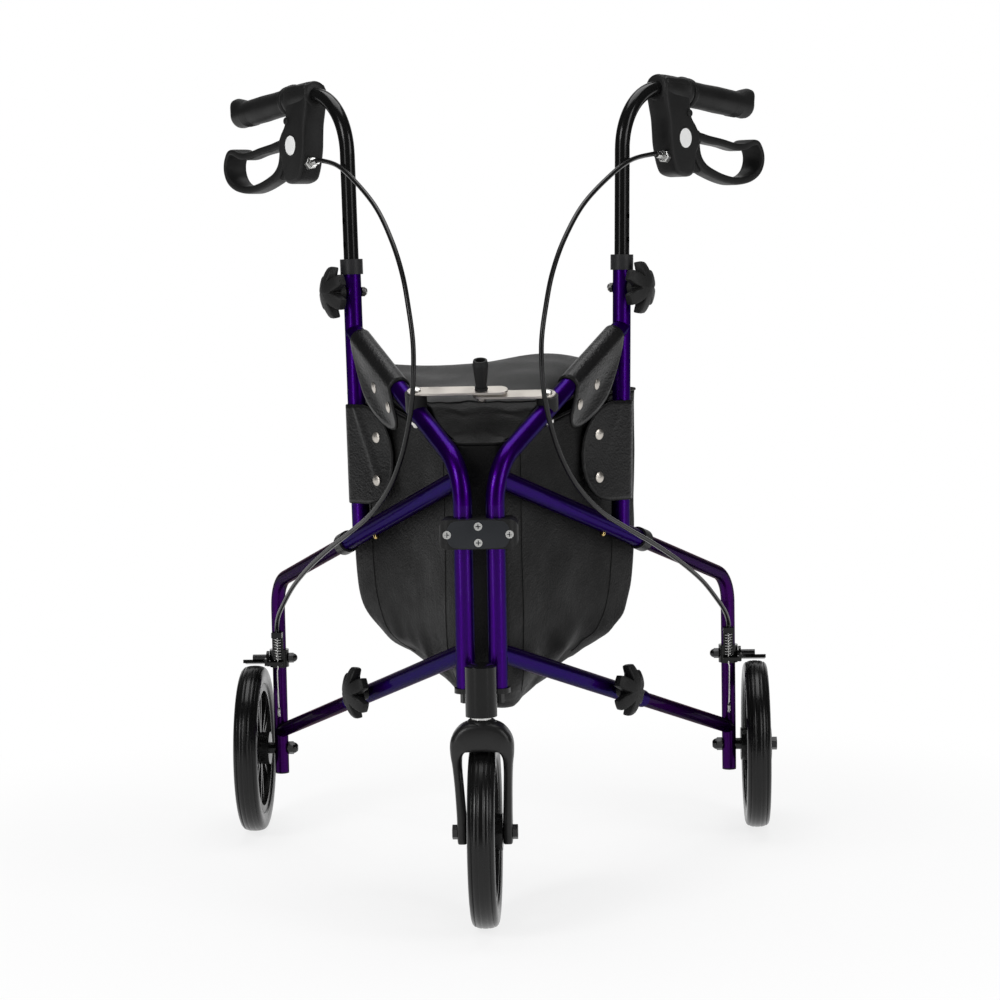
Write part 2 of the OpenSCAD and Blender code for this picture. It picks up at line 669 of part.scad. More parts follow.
button_out = 4;
button_in = 3;
module snap_button(side) color(brass) in_frame(side) at_button() {
  translate([0, 0, thin_d / 2 - thin_wall - button_in])
    cylinder(d = button_d, h = button_in + button_out + thin_wall);
  translate([0, 0, thin_d / 2 - thin_wall + button_out]) intersection() {
    cylinder(d = button_d, h = button_d / 2);
    sphere(d = button_d);
  }
}

// Lock bar: two flat links on tilted pivots, the left one above the right one
saddle_d = 22;
bar_gap = 2.6;
bar_h = tube_d / 2 + 6;
bar_over = 18;
stack = bar_t + bar_gap;
function bar_base(side) = bar_h + (side == left ? stack : 0);
module at_pivot(side) on_side(side) translate([pivot_x, pivot_y, pivot_z]) rotate([bar_tilt, 0, 0]) children();

module saddle(side) color(black) difference() {
  at_pivot(side) cylinder(d = saddle_d, h = bar_base(side) - slide_gap);
  in_frame(side) at_diagonal() cylinder(d = tube_d + 2 * weld_gap, h = diag_len);
  at_pivot(side) cylinder(d = pivot_d + 2 * slide_gap, h = 3 * bar_h, center = true);
}

bar_nut_af = 9;
module lock_bar(side) color(steel) at_pivot(side) {
  reach = pivot_x + (side == left ? bar_over : 0);
  translate([0, 0, bar_base(side)]) difference() {
    union() {
      cylinder(d = bar_w, h = bar_t);
      translate([-reach, -bar_w / 2, 0]) cube([reach, bar_w, bar_t]);
      translate([-reach, 0, 0]) cylinder(d = bar_w, h = bar_t);
    }
    translate([0, 0, -cut]) cylinder(d = pivot_d + 2 * run_gap, h = bar_t + 2 * cut);
  }
  if (side == right) translate([-pivot_x, 0, bar_base(side)]) rotate([180, 0, 0]) dome_nut(bar_nut_af, 7);
}

// Tapered pull handle that stands on the left link over the middle pivot
pull_h = 32;
pull_low_d = 10;
pull_top_d = 16;
module lock_knob() color(black) at_pivot(left) translate([-pivot_x, 0, bar_base(left) + bar_t]) {
  cylinder(d = pull_low_d + 3, h = 3);
  difference() {
    union() {
      cylinder(d1 = pull_low_d, d2 = pull_top_d, h = pull_h - 5);
      translate([0, 0, pull_h - 5]) cylinder(d1 = pull_top_d, d2 = pull_top_d - 2, h = 5);
    }
    translate([0, 0, pull_h - 8]) cylinder(d = pull_top_d - 6, h = 9);
  }
}

// Brake on a rear leg: bracket ring with a cable anchor, rocking arm with a shoe, spring, wire and bolts
arm_rise = 105;
arm_z = axle_z + arm_rise;
ring_out_d = 22;
bracket_h = 20;
anchor_y = -16;
anchor_z = arm_z + 26;
anchor_h = 6;
anchor_w = 12;
bracket_y = anchor_y + spring_d / 2 + free_gap;
lug_w = 12;
lug_z = arm_z - 6;
lug_depth = bracket_y - free_gap - (anchor_y - lug_w / 2);
lug_h = 4;
arm_x = ring_out_d / 2 + free_gap;
arm_t = 3;
wire_d = 1.6;
module brake_bracket(side) color(black) at_leg(side) difference() {
  union() {
    translate([0, 0, arm_z - bracket_h / 2]) cylinder(d = ring_out_d, h = bracket_h);
    translate([-lug_w / 2, bracket_y, arm_z - bracket_h / 2])
      cube([lug_w, 3, anchor_z + anchor_h - arm_z + bracket_h / 2]);
    translate([-anchor_w / 2, anchor_y - anchor_w / 2, anchor_z]) cube([anchor_w, anchor_w, anchor_h]);
  }
  cylinder(d = thin_d + 2 * run_gap, h = 2 * arm_z);
  translate([0, anchor_y, arm_z]) cylinder(d = wire_d + 2 * free_gap, h = 2 * arm_z);
  translate([0, anchor_y, anchor_z + 2]) cylinder(d = cable_d + 2 * slide_gap, h = 2 * anchor_h);
  translate([0, 0, arm_z]) rotate([0, 90, 0])
    cylinder(d = axle_d - 2 + 2 * slide_gap, h = 4 * ring_out_d, center = true);
}

// The shoe is a strip of a ring round the wheel, behind the top of the tyre
shoe_t = 4;
shoe_from = 5;
shoe_span = 14;
shoe_w = tyre_w - 2;
shoe_r = wheel_r + shoe_gap;
module brake_arm(side) color(grey_black) at_leg(side) difference() {
  union() {
    translate([arm_x, 0, arm_z]) rotate([0, 90, 0]) cylinder(d = 16, h = arm_t);
    translate([arm_x, anchor_y - lug_w / 2, lug_z]) cube([arm_t, -anchor_y + lug_w / 2, lug_h + 4]);
    translate([-lug_w / 2, anchor_y - lug_w / 2, lug_z]) cube([arm_x + lug_w / 2 + arm_t, lug_depth, lug_h]);
    translate([arm_x, 0, arm_z - 10]) cube([arm_t, 30, 13]);
    translate([arm_x, 0, axle_z]) rotate([0, 90, 0]) rotate([0, 0, 180 - shoe_from - shoe_span])
      rotate_extrude(angle = shoe_span) translate([shoe_r, 0]) square([shoe_t, wheel_out + shoe_w / 2 - arm_x]);
  }
  translate([0, 0, arm_z]) rotate([0, 90, 0]) cylinder(d = axle_d - 2 + 2 * run_gap, h = 4 * ring_out_d);
  translate([0, anchor_y, 0]) cylinder(d = wire_d + 2 * free_gap, h = anchor_z);
}

// A tube swept along points, with its rings turned by a fixed reference direction
function unit(v) = v / norm(v);
function tangent(p, i) = unit(p[min(i + 1, len(p) - 1)] - p[max(i - 1, 0)]);
function ring_at(p, i, r, n, ref) = let (t = tangent(p, i), u = unit(cross(t, ref)), w = cross(t, u))
  [for (k = [0 : n - 1]) p[i] + r * (cos(360 * k / n) * u + sin(360 * k / n) * w)];
module sweep_tube(p, d, n, ref) {
  m = len(p);
  pts = [for (i = [0 : m - 1]) each ring_at(p, i, d / 2, n, ref)];
  side_faces = [for (i = [0 : m - 2], k = [0 : n - 1]) let (a = i * n + k, b = i * n + (k + 1) % n)
    each [[a, a + n, b], [b, a + n, b + n]]];
  ends = [for (k = [1 : n - 2]) each [[0, k, k + 1], [(m - 1) * n, (m - 1) * n + k + 1, (m - 1) * n + k]]];
  polyhedron(pts, concat(side_faces, ends), convexity = 8);
}

// Smooth curve through hand-chosen points
function spline_at(p, i, t) = let (a = p[max(i - 1, 0)], b = p[i], c = p[i + 1], d = p[min(i + 2, len(p) - 1)])
  0.5 * (2 * b + (c - a) * t + (2 * a - 5 * b + 4 * c - d) * t * t + (3 * b - a - 3 * c + d) * t * t * t);
function spline(p, n) = concat([for (i = [0 : len(p) - 2], k = [0 : n - 1]) spline_at(p, i, k / n)],
  [p[len(p) - 1]]);

// Brake spring: one unbroken wire, with its ends straight on to the lug and the anchor
spring_low = lug_z + lug_h + free_gap;
spring_high = anchor_z - free_gap;
coil_r = (spring_d - spring_wire) / 2;
coil_steps = 8;
coil_z0 = spring_low + 2 * spring_wire;
coil_z1 = spring_high - 2 * spring_wire;
coil_points = [for (i = [0 : spring_turns * coil_steps]) let (a = i * 360 / coil_steps)
  [coil_r * cos(a), coil_r * sin(a), coil_z0 + (coil_z1 - coil_z0) * i / (spring_turns * coil_steps)]];
spring_points = concat([[coil_r, 0, spring_low], [coil_r, 0, spring_low + spring_wire]], coil_points,
  [[coil_r, 0, spring_high - spring_wire], [coil_r, 0, spring_high]]);
spring_gap = min([for (i = [0 : len(coil_points) - 1], j = [i + coil_steps - 1 : len(coil_points) - 1])
  norm(coil_points[i] - coil_points[j])]) - spring_wire;
echo(least_spring_gap = spring_gap);
module brake_spring(side) color(steel) at_leg(side) translate([0, anchor_y, 0])
  sweep_tube(spring_points, spring_wire, 6, [0.3, 0.2, 1]);

// Cable routes in a side frame's own directions: along the frame, outward from it, and height
cable_route = [[262, 17, 757], [212, 19, 741], [150, 21, 712], [104, 24, 678], [75, 26, 645], [57, 28, 612],
  [46, 29, 580], [44, 30, 550], [49, 30, 522], [60, 30, 494], [80, 30, 462], [112, 30, 430], [160, 30, 400],
  [220, 28, 376], [285, 26, 352], [350, 24, 325], [410, 20, 297], [455, 16, 270], [482, 12, 253]];
wire_tail = 50;
crimp_d = 2.8;
crimp_h = 10;
// The nozzle's mouth and the anchor's seat, in the same directions
function turn_z(v, a) = [v[0] * cos(a) - v[1] * sin(a), v[0] * sin(a) + v[1] * cos(a), v[2]];
function turn_y(v, a) = [v[0] * cos(a) + v[2] * sin(a), v[1], -v[0] * sin(a) + v[2] * cos(a)];
bend_end = [stem_bend_r * (1 + sin(handle_drop)), 0, stem_bend_z + stem_bend_r * cos(handle_drop)];
function grip_to_frame(v) = [handle_reach, 0, rail_z_at_post]
  + turn_y(turn_z(turn_y(v, handle_drop) + bend_end, -handle_splay), post_lean);
adjuster_at = [adjuster_x, -adjuster_n, adjuster_z];
function nozzle_point(l) = grip_to_frame(adjuster_at + turn_z([-l, 0, 0], adjuster_turn));
function anchor_point(h) = [leg_reach, 0, anchor_z + 2 + h] + turn_z([0, anchor_y, 0], half_open - 90);
nozzle_end = barrel_len + nozzle_len + free_gap;
cable_points = concat([nozzle_point(nozzle_end)], spline(concat([nozzle_point(nozzle_end + 6)],
  [for (p = cable_route) [p[0], -p[1], p[2]]], [anchor_point(10)]), 2), [anchor_point(free_gap)]);
module cable(side) color(black) {
  in_frame(side) sweep_tube(cable_points, cable_d, 8, [0, 1, 0.1]);
  at_leg(side) translate([0, anchor_y, 0]) {
    translate([0, 0, lug_z - wire_tail]) cylinder(d = wire_d, h = anchor_z - lug_z + wire_tail);
    translate([0, 0, lug_z - wire_tail - crimp_h]) cylinder(d = crimp_d, h = crimp_h);
  }
}

// Bolts, nuts and bearings of one side
leg_nut_af = 13;
acorn_af = 10;
bolt_out = 30;
module fasteners(side) color(steel) {
  at_leg(side) {
    translate([0, 0, axle_z]) {
      translate([-thin_d / 2 - 4, 0, 0]) rotate([0, 90, 0])
        cylinder(d = axle_d, h = wheel_out + hub_w / 2 + thin_d / 2 + 6);
      translate([-thin_d / 2 - run_gap, 0, 0]) rotate([0, -90, 0]) dome_nut(leg_nut_af, 11);
      translate([wheel_out + hub_w / 2 + free_gap, 0, 0]) rotate([0, 90, 0]) hex(leg_nut_af, 6);
      translate([thin_d / 2 + run_gap, 0, 0]) rotate([0, 90, 0])
        tube(leg_nut_af, axle_d, wheel_out - hub_w / 2 - thin_d / 2 - 2 * run_gap);
      translate([wheel_out, 0, 0]) wheel_bearings();
    }
    translate([0, 0, arm_z]) {
      translate([-ring_out_d / 2, 0, 0]) rotate([0, 90, 0])
        cylinder(d = axle_d - 2, h = ring_out_d / 2 + bolt_out);
      translate([-ring_out_d / 2, 0, 0]) rotate([0, -90, 0]) dome_nut(acorn_af, 10);
      translate([arm_x + arm_t + free_gap, 0, 0]) rotate([0, 90, 0])
        cylinder(d = axle_d, h = bolt_out - arm_x - arm_t);
    }
  }
  in_frame(side) {
    bolt_axis() rotate([180, 0, 0]) translate([0, 0, tube_d / 2 + run_gap]) dome_nut(acorn_af, 6);
    at_rail_knob() rotate([180, 0, 0]) translate([0, 0, tube_d / 2 + run_gap]) dome_nut(acorn_af, 6);
  }
  at_pivot(side) {
    translate([0, 0, -tube_d / 2 - 3])
      cylinder(d = pivot_d, h = tube_d / 2 + 3 + bar_base(side) + bar_t + free_gap);
    translate([0, 0, bar_base(side) + bar_t + free_gap]) intersection() {
      cylinder(d = 2 * pivot_d, h = 3);
      translate([0, 0, 3 - 2 * pivot_d]) sphere(2 * pivot_d);
    }
    translate([0, 0, -tube_d / 2 - 2]) rotate([180, 0, 0]) dome_nut(acorn_af, 6);
  }
}

// Bag: a hollow wedge between the frames, wider behind the handle posts, with a mouth below its lid's rear edge
flap_t = 2.4;
flap_in = tube_d / 2 + weld_gap;
bag_r = 14;
bag_wall = 4;
bag_front_s = 45;
bag_rear_y = 304;
bag_skirt = 40;
bag_rise = 40;
bag_tuck = 54;
lid_drop = 70;
lid_inset = 5;
mouth_drop = 30;
mouth_h = 4;
function in_plan(s, inward) = [post_x + s * sin(half_open) - inward * cos(half_open),
  s * cos(half_open) + inward * sin(half_open)];
bag_in = max(bush_d / 2, flap_in + flap_t) + bag_gap + bag_r;
function beside_rail(y) = [post_x + y * tan(half_open) - bag_in / cos(half_open), y];
bag_front = in_plan(bag_front_s, bag_in);
bag_side = beside_rail(bag_rear_y - bag_depth) - [lid_inset, 0];
bag_rear = beside_rail(bag_rear_y - bag_r);
module bag_balls(r, p, z) for (x = [-1, 1]) translate([x * p[0], p[1], z]) sphere(r, $fn = 20);
// The bag's outline with a given corner radius, so that a smaller one gives the inside
module bag_form(r) part() hull() {
  bag_balls(r, bag_front, bag_low_z + bag_r);
  bag_balls(r, bag_rear, bag_low_z + bag_rise + bag_r);
  bag_balls(r, [bag_rear[0] - bag_tuck / 5, bag_rear[1]], bag_low_z + bag_rise / 5);
  bag_balls(r, [bag_front[0], bag_front[1] + 60], bag_low_z - bag_skirt + bag_r);
  bag_balls(r, [bag_rear[0] - bag_tuck, bag_rear[1]], bag_low_z - bag_skirt + bag_r);
  bag_balls(r, bag_front, bag_top_z - lid_drop - bag_r);
  bag_balls(r, bag_side, bag_top_z - bag_r);
  bag_balls(r, bag_rear, bag_top_z - bag_r);
}
module bag() color(leather) difference() {
  bag_form(bag_r);
  bag_form(bag_r - bag_wall);
  part() translate([-bag_side[0], bag_rear[1], bag_top_z - mouth_drop])
    cube([2 * bag_side[0], 2 * bag_r, mouth_h]);
}

// Flaps: folded strips round the diagonal and round the handle post
diag_flap_from = 158;
diag_flap_len = 84;
post_flap_from = 46;
post_flap_len = 96;
// A strip folded round a tube: a half ring on the side of -X, with two tails towards +X
module folded_strip(tail_a, tail_b) {
  difference() {
    circle(flap_in + flap_t);
    circle(flap_in);
    translate([0, -2 * tube_d]) square([2 * tube_d, 4 * tube_d]);
  }
  translate([0, flap_in]) square([tail_a, flap_t]);
  translate([0, -flap_in - flap_t]) square([tail_b, flap_t]);
}
module bag_flaps(side) color(leather) in_frame(side) {
  at_diagonal() translate([0, 0, diag_flap_from]) linear_extrude(diag_flap_len)
    folded_strip(14, 30);
  at_post() translate([0, 0, post_flap_from]) linear_extrude(post_flap_len) rotate([0, 0, 180])
    folded_strip(46, 4);
}

head_tube();
head_cap();
head_bearings();
hinge_plate();
post_clamp();
clamp_screws();
bag();
fork();
front_axle();
front_rim();
front_tyre();
lock_knob();
front_tube(left);  // left_front_tube
handle_post(left);  // left_handle_post
rails(left);  // left_rails
rear_leg(left);  // left_rear_leg
rear_stay(left);  // left_rear_stay
bushes(left);  // left_bushes
saddle(left);  // left_saddle
fasteners(left);  // left_fasteners
brake_bracket(left);  // left_brake_bracket
brake_spring(left);  // left_brake_spring
cable(left);  // left_cable
bag_flaps(left);  // left_bag_flaps
stem(left);  // left_stem
grip(left);  // left_grip
brake_housing(left);  // left_brake_housing
cable_adjuster(left);  // left_cable_adjuster
brake_lever(left);  // left_brake_lever
brake_arm(left);  // left_brake_arm
side_rim(left);  // left_rim
side_tyre(left);  // left_tyre
height_knob(left);  // left_height_knob
rail_knob(left);  // left_rail_knob
snap_button(left);  // left_snap_button
lock_bar(left);  // left_lock_bar
front_tube(right);  // right_front_tube
handle_post(right);  // right_handle_post
rails(right);  // right_rails
rear_leg(right);  // right_rear_leg
rear_stay(right);  // right_rear_stay
bushes(right);  // right_bushes
saddle(right);  // right_saddle
fasteners(right);  // right_fasteners
brake_bracket(right);  // right_brake_bracket
brake_spring(right);  // right_brake_spring
cable(right);  // right_cable
bag_flaps(right);  // right_bag_flaps
stem(right);  // right_stem
grip(right);  // right_grip
brake_housing(right);  // right_brake_housing
cable_adjuster(right);  // right_cable_adjuster
brake_lever(right);  // right_brake_lever
brake_arm(right);  // right_brake_arm
side_rim(right);  // right_rim
side_tyre(right);  // right_tyre
height_knob(right);  // right_height_knob
rail_knob(right);  // right_rail_knob
snap_button(right);  // right_snap_button
lock_bar(right);  // right_lock_bar
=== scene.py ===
# %% [markdown]
# # A three wheel rollator
# This lesson dresses the CAD model of a folding three wheel walker. The frame, wheels and joints come from the CAD
# as they are. Blender adds the camera, the light, the finishes, the two brake cables and everything that is soft.

# %% Loading the CAD frame
import math

import bpy
import bmesh
import numpy as np
from mathutils import Matrix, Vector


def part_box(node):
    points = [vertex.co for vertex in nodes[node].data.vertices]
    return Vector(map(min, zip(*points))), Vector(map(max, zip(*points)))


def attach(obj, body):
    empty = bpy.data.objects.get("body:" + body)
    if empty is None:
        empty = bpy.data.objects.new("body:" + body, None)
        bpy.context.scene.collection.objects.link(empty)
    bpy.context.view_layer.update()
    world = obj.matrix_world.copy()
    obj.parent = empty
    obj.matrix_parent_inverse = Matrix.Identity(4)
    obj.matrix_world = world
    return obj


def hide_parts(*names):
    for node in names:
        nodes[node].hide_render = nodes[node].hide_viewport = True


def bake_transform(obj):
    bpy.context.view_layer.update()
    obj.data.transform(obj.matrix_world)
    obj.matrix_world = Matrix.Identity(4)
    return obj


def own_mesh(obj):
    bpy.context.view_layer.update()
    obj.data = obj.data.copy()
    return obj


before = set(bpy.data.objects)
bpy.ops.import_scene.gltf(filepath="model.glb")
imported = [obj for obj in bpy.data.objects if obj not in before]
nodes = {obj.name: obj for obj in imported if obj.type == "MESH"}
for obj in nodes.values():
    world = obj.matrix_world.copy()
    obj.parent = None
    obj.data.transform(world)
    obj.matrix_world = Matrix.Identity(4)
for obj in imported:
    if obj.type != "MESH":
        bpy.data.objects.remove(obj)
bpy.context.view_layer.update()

# %% [markdown]
# ## Where things are
# A side frame is flat, so its own directions are the handiest ones: s along the frame to the rear, o outwards from
# it, and z up. The handle has a second set of directions, which leans with its post and turns outwards a little.
# Points are worked out in millimetres for the right side, and the left side mirrors them.

# %% Directions of a side frame and of a handle
MM = 0.001
HALF_OPEN = math.radians(28.0)
POST_X = 16.0
LEG_REACH = 514.0
HANDLE_REACH = 259.0
LEAN = math.radians(2.1)
RAIL_SLOPE = math.radians(17.4)
RAIL_Z = 449.0
LOWER_RAIL_Z = 276.0
DIAG_SLOPE = math.radians(25.3)
SPLAY = math.radians(9.3)
DROP = math.radians(4.0)
STEM_BEND_R = 67.0
STEM_BEND_Z = 401.0
GRIP_END = 153.0
WHEEL_R = 95.0
CASTER_Y = 6.0
RAIL_AT_POST = RAIL_Z - math.tan(RAIL_SLOPE) * HANDLE_REACH
LEG_X = POST_X + LEG_REACH * math.sin(HALF_OPEN)
LEG_Y = LEG_REACH * math.cos(HALF_OPEN)
MIDDLE_Y = (LEG_Y + CASTER_Y) / 2


def pts(*columns):
    """Columns of numbers or arrays as one array of points."""
    return np.stack(np.broadcast_arrays(*[np.asarray(c, float) for c in columns]), -1)


def from_frame(p):
    """(s, o, z) of the right side frame to x, y, z in millimetres: s and o turned by the frame's half angle."""
    s, o, z = p[..., 0], p[..., 1], p[..., 2]
    x = POST_X + s * math.sin(HALF_OPEN) + o * math.cos(HALF_OPEN)
    return pts(x, s * math.cos(HALF_OPEN) - o * math.sin(HALF_OPEN) - MIDDLE_Y, z)


def from_post(p):
    """(along, outward, up) of the leaning handle post to (s, o, z)."""
    a, o, u = p[..., 0], p[..., 1], p[..., 2]
    s = HANDLE_REACH + a * math.cos(LEAN) + u * math.sin(LEAN)
    return pts(s, o, RAIL_AT_POST - a * math.sin(LEAN) + u * math.cos(LEAN))


def from_handle(p):
    """(along the grip, outward, up) from the end of the handle's bend to the post's directions."""
    a, n, u = p[..., 0], p[..., 1], p[..., 2]
    x = a * math.cos(DROP) + u * math.sin(DROP) + STEM_BEND_R * (1 + math.sin(DROP))
    z = -a * math.sin(DROP) + u * math.cos(DROP) + STEM_BEND_Z + STEM_BEND_R * math.cos(DROP)
    along = x * math.cos(SPLAY) - n * math.sin(SPLAY)
    return pts(along, x * math.sin(SPLAY) + n * math.cos(SPLAY), z)


def handle_point(p):
    """Handle directions all the way to x, y, z in millimetres."""
    return from_frame(from_post(from_handle(p)))


print("right grip end:", np.round(handle_point(pts(GRIP_END, 0.0, 0.0)), 1))

# %% [markdown]
# ## The camera
# The photograph was taken from far away with a long lens. One camera was fitted to points of the photograph, and its
# focal length in pixels, place and turn are repeated here.

# %% Camera
FOCAL_PX, PHOTO_PX, SENSOR = 2802.0, 1000.0, 36.0
CAMERA_X, CAMERA_Y, CAMERA_Z = 0.1461, -2.7177, 0.7070
PITCH = math.radians(5.9)
ROLL = math.radians(1.04)
YAW = math.radians(2.64)
ahead = np.array([-math.sin(YAW), math.cos(YAW), 0.0])
forward = ahead * math.cos(PITCH) + np.array([0, 0, -math.sin(PITCH)])
across = np.array([ahead[1], -ahead[0], 0.0])
upward = np.cross(across, forward)
cam_x = across * math.cos(ROLL) - upward * math.sin(ROLL)
cam_y = across * math.sin(ROLL) + upward * math.cos(ROLL)
camera_data = bpy.data.cameras.new("photo_camera")
camera_data.sensor_width = SENSOR
camera_data.lens = FOCAL_PX * SENSOR / PHOTO_PX
camera_data.clip_end = 50.0
camera = bpy.data.objects.new("photo_camera", camera_data)
bpy.context.scene.collection.objects.link(camera)
turn = Matrix(np.column_stack([cam_x, cam_y, -forward]).tolist()).to_4x4()
camera.matrix_world = Matrix.Translation((CAMERA_X, CAMERA_Y - MIDDLE_Y * MM, CAMERA_Z)) @ turn
bpy.context.scene.camera = camera
print("lens", round(camera_data.lens, 1), "mm")

# %% [markdown]
# ## Meshes from arrays
# Every new piece is a grid of points: one index runs along the piece and the other round or across it. The helper
# joins neighbours with four-sided faces, merges points that meet and turns the faces outwards. Open cloth has no
# inside, so it is told which way to face. The helper also says which body carries the piece, and which CAD node the
# piece is shown for.

# %% Grid meshes
def grid(points, wrap_i=False, wrap_j=False, uv=None, caps=False):
    """A grid of points[i, j] with what closes it: wrapped rows, wrapped columns, or flat first and last rows."""
    return {"points": points, "wrap_i": wrap_i, "wrap_j": wrap_j, "uv": uv, "caps": caps}


def barrel(points):
    """Rings that close round, with flat ends."""
    return grid(points, wrap_j=True, caps=True)


def grid_faces(g, base):
    """Quads between the neighbours of the grid, and its two flat ends if it has them."""
    shape = g["points"].shape[:2]
    index = base + np.arange(shape[0] * shape[1]).reshape(shape)
    ends = [index[0].tolist(), index[-1].tolist()] if g["caps"] else []
    if g["wrap_i"]:
        index = np.vstack([index, index[:1]])
    if g["wrap_j"]:
        index = np.hstack([index, index[:, :1]])
    quads = np.stack([index[:-1, :-1], index[1:, :-1], index[1:, 1:], index[:-1, 1:]], -1).reshape(-1, 4)
    return quads.tolist() + ends


def cleaned(mesh, face):
    """Merges near points and turns the faces outwards, or towards face where one is given."""
    shape = bmesh.new()
    shape.from_mesh(mesh)
    bmesh.ops.remove_doubles(shape, verts=shape.verts, dist=1e-5)
    bmesh.ops.dissolve_degenerate(shape, edges=shape.edges, dist=1e-6)
    bmesh.ops.recalc_face_normals(shape, faces=shape.faces)
    if face is not None and sum(f.normal.dot(face) * f.calc_area() for f in shape.faces) < 0:
        bmesh.ops.reverse_faces(shape, faces=shape.faces)
    shape.to_mesh(mesh)
    shape.free()


def new_piece(name, grids, material, slot, sharp=None, face=None, body=None, node=None):
    """One object from grids in millimetres. It rides on body, and is shown in the place of the CAD node."""
    verts, faces, uvs, base = [], [], [], 0
    for g in grids:
        mine = grid_faces(g, base)
        verts.append(g["points"].reshape(-1, 3) * MM)
        faces += mine
        flat = np.zeros((verts[-1].shape[0], 2)) if g["uv"] is None else g["uv"].reshape(-1, 2)
        uvs.append(flat[np.concatenate(mine) - base])
        base += len(flat)
    mesh = bpy.data.meshes.new(name)
    mesh.from_pydata(np.vstack(verts).tolist(), [], faces)
    mesh.uv_layers.new(name="UVMap").data.foreach_set("uv", np.vstack(uvs).astype(np.float32).ravel())
    cleaned(mesh, face)
    mesh.polygons.foreach_set("use_smooth", np.ones(len(mesh.polygons), bool))
    if sharp:
        mesh.set_sharp_from_angle(angle=math.radians(sharp))
    piece = bpy.data.objects.new(name, mesh)
    bpy.context.scene.collection.objects.link(piece)
    mesh.materials.append(material)
    if node:
        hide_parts(node)
    if body:
        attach(piece, body)
    return piece


def cloth_wall(piece, thickness, offset=-1.0):
    """Gives a cloth its thickness in metres, on one side of its grid."""
    wall = piece.modifiers.new("wall", "SOLIDIFY")
    wall.thickness, wall.offset = thickness, offset


def mirrored(grids):
    """The same grids on the left side, with x turned over."""
    return [{**g, "points": g["points"] * np.array([-1.0, 1, 1])} for g in grids]


SIDES = (("right", lambda grids: grids, 1.0), ("left", mirrored, -1.0))


def both_sides(name, grids, material, slot, sharp=None, body=None, node=None):
    """The piece on the right and its mirror image on the left, each with the body and the node of its own side."""
    pair = []
    for side, place, sign in SIDES:
        of_side = {key: side + "_" + value for key, value in (("body", body), ("node", node)) if value}
        pair.append(new_piece(side + "_" + name, place(grids), material, slot, sharp, **of_side))
    return pair


print("a piece is made for each of:", [side for side, place, sign in SIDES])


# %% Curves and sweeps
def unit(v):
    """Vectors of length one."""
    return v / np.linalg.norm(v, axis=-1, keepdims=True)


def circle(n):
    """n angles round a full turn."""
    return np.arange(n) * 2 * np.pi / n


def catmull(a, b, d, e, n):
    """Catmull-Rom curve from b to d with the neighbours a and e, n steps a span."""
    t = (np.arange(n) / n)[None, :, None]
    return 0.5 * (2 * b + (d - a) * t + (2 * a - 5 * b + 4 * d - e) * t**2 + (3 * b - a - 3 * d + e) * t**3)


def spline(control, n):
    """An open curve through control points."""
    c = np.asarray(control, float)
    c = np.vstack([c[:1], c, c[-1:]])
    body = catmull(c[:-3, None], c[1:-2, None], c[2:-1, None], c[3:, None], n)
    return np.vstack([body.reshape(-1, c.shape[1]), c[-1:]])


def closed_spline(control, n):
    """A curve through control points that closes on itself."""
    c = np.asarray(control, float)
    body = catmull(*(np.roll(c, k, axis=0)[:, None] for k in (1, 0, -1, -2)), n)
    return body.reshape(-1, c.shape[1])


def squared(angle, c_power, s_power):
    """Cosine and sine with their sizes raised to a power: below one, the circle grows corners."""
    c, s = np.cos(angle), np.sin(angle)
    return np.sign(c) * np.abs(c) ** c_power, np.sign(s) * np.abs(s) ** s_power


def turned(profile, columns=40):
    """A row of (along, radius) turned about the first axis."""
    row, angle = np.asarray(profile, float), circle(columns)
    return pts(row[:, :1], row[:, 1:] * np.cos(angle), row[:, 1:] * np.sin(angle))


def sweep(path, radius, sides, ref):
    """A round profile carried along a path: the ring's axes are the path's direction crossed with a reference."""
    direction = unit(np.gradient(path, axis=0))
    u = unit(np.cross(direction, np.asarray(ref, float)))
    w = np.cross(direction, u)
    angle = circle(sides)
    ring = np.cos(angle)[None, :, None] * u[:, None] + np.sin(angle)[None, :, None] * w[:, None]
    r = np.broadcast_to(np.asarray(radius, float), (len(path),))[:, None, None]
    return path[:, None] + r * ring


def rod(path, radius, sides, ref):
    """A sweep with a point at each end, so that it closes."""
    rings = sweep(path, radius, sides, ref)
    first, last = (np.broadcast_to(r.mean(1, keepdims=True), r.shape) for r in (rings[:1], rings[-1:]))
    return grid(np.concatenate([first, rings, last]), wrap_j=True)


def smooth_step(x, low, high):
    """0 below low, 1 above high, and a soft S between."""
    t = np.clip((x - low) / (high - low), 0, 1)
    return t * t * (3 - 2 * t)


print("half way up a soft step:", float(smooth_step(0.5, 0, 1)))

# %% [markdown]
# ## Node groups for the finishes
# A finish is more than a colour. Paint has fine flakes under its clear coat, moulded plastic has a fine grain, and
# everything that is handled is a little dull along its high spots. Effects that several finishes share are built once
# as node groups, and each material places them with its own values.

# %% Building node trees
FLOAT, COLOR, VECTOR = "NodeSocketFloat", "NodeSocketColor", "NodeSocketVector"
NOISE, CELLS, MATH, RANGE = "ShaderNodeTexNoise", "ShaderNodeTexVoronoi", "ShaderNodeMath", "ShaderNodeMapRange"
MIX_FAC, MIX_A, MIX_B, MIX_RESULT = 0, 6, 7, 2


def add(tree, kind, sockets=None, **settings):
    """A node with its settings, and with its inputs set by name or number."""
    node = tree.nodes.new(kind)
    for key, value in settings.items():
        setattr(node, key, value)
    for key, value in (sockets or {}).items():
        node.inputs[key].default_value = value
    return node


def mixer(tree, sockets=None):
    """A node that mixes two colours."""
    return add(tree, "ShaderNodeMix", sockets, data_type="RGBA")


def link(tree, *wires):
    """Wires, each as a node and its output, then a node and its input."""
    for source, output, target, into in wires:
        tree.links.new(source.outputs[output], target.inputs[into])


